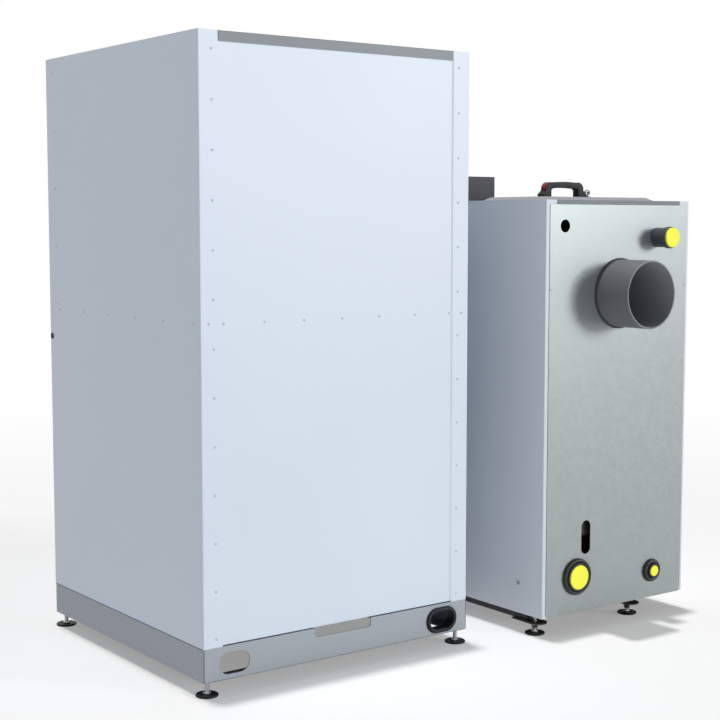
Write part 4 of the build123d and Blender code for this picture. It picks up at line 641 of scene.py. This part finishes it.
# Supply stub: a painted pipe with a thick collar, welded to the vessel. The yellow cap is pushed
# over the pipe's end, and its wall sits in a socket that is turned into the collar.
def facing_back(piece, low, high):
    """Turns a piece that stands on Z to the back, onto the front middle of a box."""
    seat = Matrix.Translation(((low.x + high.x) / 2, low.y, (low.z + high.z) / 2))
    piece.data.transform(seat @ Matrix.Rotation(-pi / 2, 4, "X"))
    return piece


low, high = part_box("supply_stub")
cap_low, cap_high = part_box("supply_plug")
cap_floor = 0.0032
collar_drop = 0.0042
play = 0.0002
pipe_end = cap_high.y - cap_floor - low.y
collar_end = cap_high.y - collar_drop - low.y
socket_radius = (cap_high.x - cap_low.x) / 2 + play
socket_floor = cap_low.y - play - low.y
pipe_radius = 0.0200
pipe_bore = pipe_radius - 0.003
collar_radius = (high.x - low.x) / 2
neck_radius = collar_radius - 0.0026
stub = turned("supply_stub_collared", [
    (pipe_bore, 0.0), (neck_radius, 0.0), (neck_radius, collar_end - 0.0165),
    (neck_radius + 0.0006, collar_end - 0.0152), (collar_radius - 0.0006, collar_end - 0.0138),
    (collar_radius, collar_end - 0.0122), (collar_radius, collar_end - 0.0115),
    (collar_radius, collar_end - 0.0055), (collar_radius, collar_end - 0.0045),
    (collar_radius - 0.0004, collar_end - 0.0020), (collar_radius - 0.0012, collar_end - 0.0004),
    (collar_radius - 0.0019, collar_end), (socket_radius, collar_end),
    (socket_radius, socket_floor), (pipe_radius, socket_floor), (pipe_radius, pipe_end - 0.0006),
    (pipe_radius - 0.0006, pipe_end), (pipe_bore, pipe_end), (pipe_bore, 0.0),
], 72, hollow=True)
stub_grey = dark_paint("stub_grey", srgb(78, 81, 85), srgb(85, 88, 92), 0.55, 0.3)
stub.data.materials.append(stub_grey)
smooth(facing_back(stub, low, high))
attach(stub, "cabinets")
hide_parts("supply_stub")


# Transport plugs: cups moulded of yellow polythene, with a thin raised rim, given a faint glow of
# their own as painted light. Two are pressed into the low stubs, and the upper one is a cap over its
# pipe.
def bright_plastic(name, colour, deep, roughness, gloss):
    """A glossy moulded plastic, whose colour is a little deeper where the melt flowed."""
    finish, shader, place = new_finish(name, colour, roughness, Specular_IOR_Level=gloss)
    flow = place.noise(30.0, 3.0).fade(0.3, 0.7)
    flow.tint(deep, colour).into(shader, "Base Color")
    (flow * 0.08 + (roughness - 0.04)).into(shader, "Roughness")
    place.noise(900.0).relief(0.00003, 0.4).into(shader, "Normal")
    return finish


yellow = srgb(255, 254, 80)
yellow_plastic = bright_plastic("yellow_plastic", yellow, srgb(253, 250, 74), 0.5, 0.25)
yellow_glow_shader = yellow_plastic.node_tree.nodes["Principled BSDF"]
# The plastic glows a little, though it is no lamp: painted light that brightens the yellow.
yellow_glow_shader.inputs["Emission Color"].default_value = (*yellow, 1.0)
yellow_glow_shader.inputs["Emission Strength"].default_value = 0.085
cup_wall = 0.003
for node, body, is_cap in (
    ("supply_plug", "plug_supply", True),
    ("return_plug", "plug_return", False),
    ("drain_plug", "plug_drain", False),
):
    low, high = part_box(node)
    radius = (high.x - low.x) / 2
    depth = high.y - low.y
    bore = radius - cup_wall
    cup = turned(node + "_cup", [
        (bore, depth - cup_wall if is_cap else cup_wall), (bore, 0.0), (radius - 0.0002, 0.0),
        (radius, 0.0006), (radius, 0.0012), (radius, depth - 0.0015), (radius, depth - 0.0009),
        (radius - 0.0003, depth - 0.0003), (radius - 0.0009, depth), (radius - 0.0019, depth),
        (radius - 0.0024, depth - 0.0005), (radius - 0.0034, depth - 0.0006),
    ], 72)
    cup.data.materials.append(yellow_plastic)
    smooth(facing_back(cup, low, high))
    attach(cup, body)
    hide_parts(node)

# Rosettes: soft black rubber rings, moulded round like a bead, and pushed over the two low stubs to
# close their holes in the zinc-coated back.
rubber = dusty_rubber("rubber", srgb(42, 43, 46), srgb(52, 53, 56), 0.45, 0.35)
large_rosette = 0.04
large_width = 0.0095
small_width = 0.011
lip = 0.001
rings = []
for low, high in loose_parts("stub_rosettes"):
    radius = (high.x - low.x) / 2
    bore = radius - (large_width if radius > large_rosette else small_width)
    crown_height = high.y - low.y - lip
    half_width = (radius - bore) / 2
    crown = [
        (radius - half_width * (1 - cos(turn)), lip + crown_height * sin(turn) ** 0.8)
        for turn in [pi * step / 16 for step in range(17)]
    ]
    ring = turned("ring", [(bore, 0.0), (radius, 0.0), *crown, (bore, 0.0)], 80, hollow=True)
    rings.append(facing_back(ring, low, high))
rosettes = smooth(joined(rings, "stub_rosettes_moulded"))
rosettes.data.materials.append(rubber)
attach(rosettes, "cabinets")
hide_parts("stub_rosettes")


# Handles of the cleaning cover and the door: bows of black moulded plastic, spark-eroded to a fine
# grain and worn by hands. Screws fix them, under red caps on the cover's handle.
def merged_copy(node, name, flatten=False):
    """A copy of a CAD node with its loose triangles joined, and if asked made whole flat faces."""
    clear_selection()
    piece = bpy.data.objects.new(name, nodes[node].data.copy())
    piece.data.name = name
    bpy.context.scene.collection.objects.link(piece)
    piece.select_set(True)
    bpy.context.view_layer.objects.active = piece
    if piece.data.has_custom_normals:
        bpy.ops.mesh.customdata_custom_splitnormals_clear()
    bpy.ops.object.mode_set(mode="EDIT")
    bpy.ops.mesh.select_all(action="SELECT")
    bpy.ops.mesh.remove_doubles(threshold=2e-6)
    if flatten:
        bpy.ops.mesh.dissolve_limited(angle_limit=radians(0.5))
    bpy.ops.object.mode_set(mode="OBJECT")
    return piece


def softened(node, body, width, segments, shaping=None):
    """A copy of a CAD node with its sharp edges rounded, as the tool left them."""
    piece = merged_copy(node, node + "_rounded", flatten=True)
    if shaping:
        shaping(piece)
    rounding = piece.modifiers.new("rounding", "BEVEL")
    rounding.width = width
    rounding.segments = segments
    rounding.limit_method = "ANGLE"
    rounding.angle_limit = radians(30.0)
    bpy.ops.object.modifier_apply(modifier="rounding")
    smooth(piece, 40.0)
    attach(piece, body)
    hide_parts(node)
    return piece


handle_low, handle_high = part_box("cover_handle")
handle_centre = (handle_low.x + handle_high.x) / 2
handle_half = (handle_high.x - handle_low.x) / 2
grip_arch = 0.0060
grip_reach = 0.016
grip_thickness = 0.006
grip_swell = 0.0018


def arch_drop(x):
    """How far the grip's arch has dropped at x from its highest point, in the middle."""
    return grip_arch * min(1.0, abs(x - handle_centre) / handle_half) ** 2


def arched(piece):
    """Arches the grip of the cover's handle, and makes it thicker than its legs."""
    bpy.ops.object.mode_set(mode="EDIT")
    for station in (-0.5, -0.3, -0.1, 0.1, 0.3, 0.5):
        cut = (handle_centre + station * handle_half, 0.0, 0.0)
        bpy.ops.mesh.select_all(action="SELECT")
        bpy.ops.mesh.bisect(plane_co=cut, plane_no=(1.0, 0.0, 0.0))
    bpy.ops.object.mode_set(mode="OBJECT")
    for vert in piece.data.vertices:
        if vert.co.z < handle_high.z - grip_reach:
            continue
        swell = grip_swell if vert.co.z < handle_high.z - grip_thickness else 0.0
        vert.co.z -= arch_drop(vert.co.x) + swell


handle_black, shader, place = new_finish(
    "handle_black", srgb(30, 31, 35), 0.5, Specular_IOR_Level=0.2
)
grain = place.noise(1300.0).fade(0.35, 0.65)
wear = place.noise(16.0, 4.0).fade(0.4, 0.75)
(grain * 0.4 + wear * 0.6).tint(srgb(27, 28, 32), srgb(35, 36, 40)).into(shader, "Base Color")
(grain * 0.12 - wear * 0.06 + 0.45).into(shader, "Roughness")
grain.relief(0.00007, 0.6).into(shader, "Normal")
dress(handle_black, "cover_handle", "door_handle")
softened("cover_handle", "cover", 0.0028, 4, shaping=arched)
softened("door_handle", "door", 0.0028, 4)

red_plastic = bright_plastic("red_plastic", srgb(128, 30, 38), srgb(114, 24, 32), 0.35, 0.3)
dress(red_plastic, "cover_handle_caps")
caps = softened("cover_handle_caps", "cover", 0.0005, 2)
caps.data.materials.append(handle_black)
for vert in caps.data.vertices:
    vert.co.z -= arch_drop(vert.co.x)
for face in caps.data.polygons:
    if face.center.x <= handle_centre and face.normal.x > -0.5:
        face.material_index = 1

# Control housing with its rocker switch and display: dark grey moulded plastic with a fine grain,
# screwed on at the front of the boiler's top. The display is a polished dark glass in its slope.
moulded_grey, shader, place = new_finish(
    "moulded_grey", srgb(50, 52, 57), 0.5, Specular_IOR_Level=0.3
)
grain = place.noise(1300.0).fade(0.35, 0.65)
flow = place.noise(9.0, 3.0).fade(0.3, 0.7)
(grain * 0.4 + flow * 0.6).tint(srgb(46, 48, 53), srgb(54, 56, 61)).into(shader, "Base Color")
(grain * 0.12 + 0.42).into(shader, "Roughness")
grain.relief(0.00007, 0.6).into(shader, "Normal")
dress(moulded_grey, "control_housing", "power_switch")
softened("control_housing", "cabinets", 0.0022, 4)
softened("power_switch", "rocker", 0.0006, 2)

display, shader, place = new_finish("display", srgb(16, 18, 21), 0.06)
smear = place.noise(24.0, 3.0).fade(0.4, 0.7)
smear.tint(srgb(15, 17, 20), srgb(19, 21, 24)).into(shader, "Base Color")
(smear * 0.08 + 0.05).into(shader, "Roughness")
dress(display, "display_glass")
softened("display_glass", "cabinets", 0.0006, 2)

# Cable sleeve and hole plugs: soft black plastic, moulded and pressed into the holes of the
# hopper's plinth and side panels.
dress(sleeve_black, "cable_sleeve", "side_hole_plugs")
softened("cable_sleeve", "cabinets", 0.0010, 3)

# Flue gasket: a flat ring cut from black rubber, slipped over the spigot and pressed against the
# back. Its edges are a little rounded.
dress(rubber, "flue_gasket")
softened("flue_gasket", "cabinets", 0.0008, 2)

# Return and drain stubs: turned steel sleeves welded to the vessel, under the same heat-resistant
# paint as the base, with rounded mouths.
stub_black = dark_paint("stub_black", srgb(40, 41, 44), srgb(48, 49, 52), 0.55, 0.3)
dress(stub_black, "return_stub", "drain_stub")
softened("return_stub", "cabinets", 0.0020, 4)
softened("drain_stub", "cabinets", 0.0014, 4)

# Flue spigot: a steel pipe, rolled and welded, under heat-resistant paint, with a deburred lip. Its
# lip is painted a lighter grey, and its inside is painted paler than its outside, as painted light
# bounced round the bore.
low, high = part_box("flue_spigot")
middle = (low + high) / 2
outer = 0.080
bore = 0.076
length = high.y - low.y
lip = 0.0010
burr = 0.0003
flue_paint, shader, place = new_finish("flue_paint", srgb(94, 98, 102), 0.5)
grain = place.noise(900.0, 3.0).fade(0.35, 0.65)
cloud = place.noise(14.0, 4.0).fade(0.3, 0.7)
along = place.node("ShaderNodeSeparateXYZ", {}, {"Vector": place}, out=1)
radial = place.node(
    "ShaderNodeVectorMath", {"operation": "SUBTRACT"}, {0: place, 1: (middle.x, 0.0, middle.z)}
)
radial = radial.node(
    "ShaderNodeVectorMath", {"operation": "MULTIPLY"}, {0: radial, 1: (1.0, 0.0, 1.0)}
)
from_axis = radial.node("ShaderNodeVectorMath", {"operation": "LENGTH"}, {0: radial}, out=1)
# The bore is painted paler than the outside, as painted light bounced round inside the pipe, and the
# lip's last millimetre a lighter grey.
inside = from_axis.fade(bore + 0.0006, bore + 0.0016, 1.0, 0.0)
lighter_lip = along.fade(high.y - 0.0012, high.y - 0.0002)
skin = (grain * 0.5 + cloud * 0.5).tint(srgb(97, 101, 105), srgb(104, 108, 112))
skin = inside.tint(skin, srgb(136, 140, 144))
lighter_lip.tint(skin, srgb(120, 124, 128)).into(shader, "Base Color")
(grain * 0.12 + cloud * 0.06 + 0.46).into(shader, "Roughness")
grain.relief(0.00008, 0.6).into(shader, "Normal")
spigot = turned("flue_spigot_rolled", [
    (bore, 0.0), (outer - 0.0004, 0.0), (outer, 0.0004), (outer, length - lip),
    (outer - burr, length - burr), (outer - lip, length), (bore + lip, length),
    (bore + burr, length - burr), (bore, length - lip), (bore, 0.0),
], 128, hollow=True)
spigot.data.materials.append(flue_paint)
smooth(facing_back(spigot, low, high))
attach(spigot, "cabinets")
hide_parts("flue_spigot")

# Ring nut: a lifting eye of chromed steel, a round ring forged onto a stepped base that screws down
# on the cleaning cover.
chrome, shader, place = new_finish("chrome", srgb(226, 226, 228), 0.1, Metallic=1.0)
hair = place.noise(300.0, 3.0).fade(0.35, 0.65)
hair.tint(srgb(112, 114, 120), srgb(136, 138, 143)).into(shader, "Base Color")
(hair * 0.08 + 0.07).into(shader, "Roughness")

low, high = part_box("ring_nut")
middle = (low + high) / 2
eye_radius = 0.0063
eye_thickness = 0.0037
base = turned("ring_nut_base", [
    (0.0082, low.z), (0.0090, low.z + 0.0005), (0.0090, low.z + 0.0022), (0.0084, low.z + 0.0030),
    (0.0062, low.z + 0.0036), (0.0044, low.z + 0.0052), (0.0034, low.z + 0.0058),
], 48)
base.data.transform(Matrix.Translation((middle.x, middle.y, 0.0)))
clear_selection()
bpy.ops.mesh.primitive_torus_add(
    major_segments=56, minor_segments=18, major_radius=eye_radius, minor_radius=eye_thickness,
    location=(middle.x, middle.y, high.z - eye_radius - eye_thickness),
    rotation=(pi / 2, 0.0, 0.0),
)
eye = placed(bpy.context.object, "eye")
for part in (base, eye):
    part.data.materials.append(chrome)
ring_nut = smooth(joined([base, eye], "ring_nut_forged"))
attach(ring_nut, "cover")
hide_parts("ring_nut")

# Cap nuts behind the control housing: two small domed nuts, polished and chromed, that hold its
# bracket under the boiler's top cover.
cover_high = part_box("boiler_top_cover")[1]
housing_low, housing_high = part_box("control_housing")
behind_housing = 0.0125
from_housing_end = 0.036
dome_radius = 0.0056
dome_height = 0.0044
flats = hexagon("flats", 0.0065, 0.005, 0.0035, 0.0006)
dome = turned("dome", [(0.0050, 0.0055), (dome_radius, 0.0060)] + [
    (dome_radius * cos(turn), 0.0066 + dome_height * sin(turn))
    for turn in [pi * step / 20 for step in range(9)]
], 32)
washer = turned(
    "washer", [(0.0080, -0.0004), (0.0085, 0.0), (0.0085, 0.0008), (0.0081, 0.0012)], 40
)
cap_nut = joined([flats, dome, washer], "cap_nut")
pair = []
for x in (housing_low.x + from_housing_end, housing_high.x - from_housing_end):
    seat = Matrix.Translation((x, housing_high.y + behind_housing, cover_high.z))
    pair.append(copied(cap_nut, "cap_nut", seat))
    pair[-1].data.materials.append(chrome)
bpy.data.objects.remove(cap_nut)
cap_nuts = smooth(joined(pair, "housing_cap_nuts"))
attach(cap_nuts, "cabinets")

# Bead along the hopper's back: filler in the joint of one side's flange and the back panel, drawn
# smooth and painted over with the casing.
panel_low, panel_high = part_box("hopper_rear_panel")
flange_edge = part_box("hopper_side_left")[1]
bead_width = 0.004
bead_height = 0.0014
bead_slope = 0.00135
bead_middle = Vector((
    flange_edge.x + bead_width / 2,
    panel_high.y + bead_height / 2,
    (panel_low.z + panel_high.z) / 2,
))
clear_selection()
bpy.ops.mesh.primitive_cube_add(size=1.0, location=bead_middle)
bead = bpy.context.object
bead.scale = (bead_width, bead_height, panel_high.z - panel_low.z - 0.002)
bead = placed(bead, "hopper_seam_bead")
bpy.ops.object.mode_set(mode="EDIT")
pick(bead, lambda edge: all(
    vert.co.x > bead_middle.x and vert.co.y > bead_middle.y for vert in edge.verts
), "edges")
bpy.ops.transform.translate(value=(0.0, -bead_slope, 0.0))
pick(bead, lambda face: face.normal.y > 0.5)
bpy.ops.mesh.subdivide(number_cuts=3)
smooth(bead)
bead.data.materials.append(casing_white)
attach(bead, "cabinets")

# Side panels of the boiler: white sheet steel like the casing, screwed to the frame. Their white is
# a greyer copy of the casing's, as painted shade from the hopper that stands beside them. The fold
# at the back is sharp, and a narrow strip of its flange shows beside the zinc-coated back.
boiler_white = powder_coat("boiler_white", srgb(218, 223, 231), srgb(214, 219, 227), 0.42)
dress(boiler_white, "boiler_side_left", "boiler_side_right")
fold_radius = 0.008
sharp_radius = 0.002
fold_hollow = 0.004
slack = 1e-5
for node, toward in (("boiler_side_right", 1), ("boiler_side_left", -1)):
    low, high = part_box(node)
    outer_x = high.x if toward > 0 else low.x
    old_centre = Vector((outer_x - toward * fold_radius, high.y - fold_radius))
    new_centre = Vector((outer_x - toward * sharp_radius, high.y - sharp_radius))
    piece = merged_copy(node, node + "_folded")
    for vert in piece.data.vertices:
        spoke = Vector((vert.co.x, vert.co.y)) - old_centre
        before_fold = toward * spoke.x < -slack or spoke.y < -slack
        if before_fold or spoke.length < fold_hollow:
            continue
        sharpened = (spoke.length - fold_radius + sharp_radius) / spoke.length
        vert.co.x, vert.co.y = new_centre + spoke * sharpened
    smooth(piece, 25.0)
    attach(piece, "cabinets")
    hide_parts(node)

# Back of the boiler: one sheet of zinc-coated steel, cut a little narrower than the boiler, and
# riveted over the flanges of both side panels.
back_zinc = zinc_sheet(
    "back_zinc", srgb(156, 164, 163), srgb(149, 157, 156), (1.0, 1.0, 14.0), 0.40
)
dress(back_zinc, "boiler_rear_panel")
low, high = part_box("boiler_rear_panel")
edge_strip = 0.014
right_trim = 0.0065
left_trim = 0.0030
back = merged_copy("boiler_rear_panel", "boiler_rear_panel_trimmed")
for vert in back.data.vertices:
    if vert.co.x > high.x - edge_strip:
        vert.co.x -= right_trim
    elif vert.co.x < low.x + edge_strip:
        vert.co.x += left_trim
smooth(back, 25.0)
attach(back, "cabinets")
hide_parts("boiler_rear_panel")

# Shadow lines of the plinth: thin dull grey-blue strips, just proud of the sheet, that are painted
# shade where shadow gaps fall along its top edge under the side panels, down its open back corners
# and along its lower back edge.
joint_grey = dusty_rubber("joint_grey", srgb(92, 99, 112), srgb(104, 111, 124), 0.6, 0.3)
low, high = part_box("hopper_plinth")
proud = 0.0002
sunk = 0.0004
top_width = 0.0022
corner_width = 0.0013
lower_width = 0.0010
gap_at_ends = 0.006
strips = []
for corner_x, outward in ((high.x, 1), (low.x, -1)):
    strips.append((
        (corner_x + outward * (proud - sunk) / 2, (low.y + high.y) / 2, high.z - 0.0009),
        (proud + sunk, high.y - low.y - gap_at_ends, top_width),
    ))
    strips.append((
        (corner_x - outward * 0.0016, high.y, (low.z + high.z) / 2),
        (corner_width, 2 * proud, high.z - low.z - 0.002),
    ))
strips.append((
    ((low.x + high.x) / 2, high.y, low.z + 0.0007),
    (high.x - low.x - gap_at_ends, 2 * proud, lower_width),
))
lines = []
for middle, size in strips:
    clear_selection()
    bpy.ops.mesh.primitive_cube_add(size=1.0, location=middle)
    line = bpy.context.object
    line.scale = size
    line = placed(line, "line")
    bpy.ops.object.mode_set(mode="EDIT")
    bpy.ops.mesh.select_all(action="SELECT")
    bpy.ops.mesh.bevel(offset=proud * 0.45, segments=1, affect="EDGES")
    bpy.ops.object.mode_set(mode="OBJECT")
    lines.append(line)
shadow_line_strips = joined(lines, "plinth_joint_strips")
shadow_line_strips.data.materials.append(joint_grey)
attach(shadow_line_strips, "cabinets")


# Door seal and lid seal: a rope of braided glass fibre, off-white and pressed flat in its groove,
# and a black rubber bulb pushed onto the edge of the hopper's collar.
def ring_seal(node, name, across, finish, body, facing, width, thickness, corner):
    """A loop of round section along a rounded rectangle, pressed to its thickness."""
    low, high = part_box(node)
    clear_selection()
    bpy.ops.mesh.primitive_plane_add(size=1.0, location=(0.0, 0.0, 0.0))
    loop = bpy.context.object
    loop.scale = (across[0] - width, across[1] - width, 1.0)
    loop = placed(loop, name)
    bpy.ops.object.mode_set(mode="EDIT")
    bpy.ops.mesh.select_all(action="SELECT")
    bpy.ops.mesh.delete(type="ONLY_FACE")
    bpy.ops.mesh.select_all(action="SELECT")
    bpy.ops.mesh.bevel(offset=corner, segments=10, affect="VERTICES")
    clear_selection()
    loop.select_set(True)
    bpy.context.view_layer.objects.active = loop
    bpy.ops.object.convert(target="CURVE")
    loop = bpy.context.object
    loop.data.dimensions = "3D"
    loop.data.bevel_depth = width / 2
    loop.data.bevel_resolution = 5
    bpy.ops.object.convert(target="MESH")
    loop = bpy.context.object
    press = Matrix.Diagonal((1.0, 1.0, thickness / width, 1.0))
    turn = Matrix.Rotation(pi / 2, 4, "X") if facing == "Y" else Matrix.Identity(4)
    loop.data.transform(Matrix.Translation((low + high) / 2) @ turn @ press)
    loop.data.materials.clear()
    loop.data.materials.append(finish)
    smooth(placed(loop, name), 60.0)
    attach(loop, body)
    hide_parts(node)


rope, shader, place = new_finish("rope", srgb(196, 193, 184), 0.9)
strand = place.node(
    "ShaderNodeTexWave",
    {"wave_type": "BANDS", "bands_direction": "DIAGONAL"},
    {"Vector": place, "Scale": 170.0, "Distortion": 1.5, "Detail": 2.0},
    out=1,
)
fuzz = place.noise(700.0, 3.0).fade(0.3, 0.7)
rope_colour = (strand * 0.6 + fuzz * 0.4).tint(srgb(158, 154, 144), srgb(208, 205, 197))
rope_colour.into(shader, "Base Color")
(strand + fuzz * 0.5).relief(0.0006, 0.8).into(shader, "Normal")
low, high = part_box("door_seal")
ring_seal(
    "door_seal", "door_seal_rope", (high.x - low.x, high.z - low.z), rope, "door",
    facing="Y", width=0.009, thickness=high.y - low.y, corner=0.0135,
)
low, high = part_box("lid_seal")
ring_seal(
    "lid_seal", "lid_seal_bulb", (high.x - low.x, high.y - low.y), rubber,
    "cabinets", facing="Z", width=0.006, thickness=high.z - low.z, corner=0.026,
)

low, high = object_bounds()
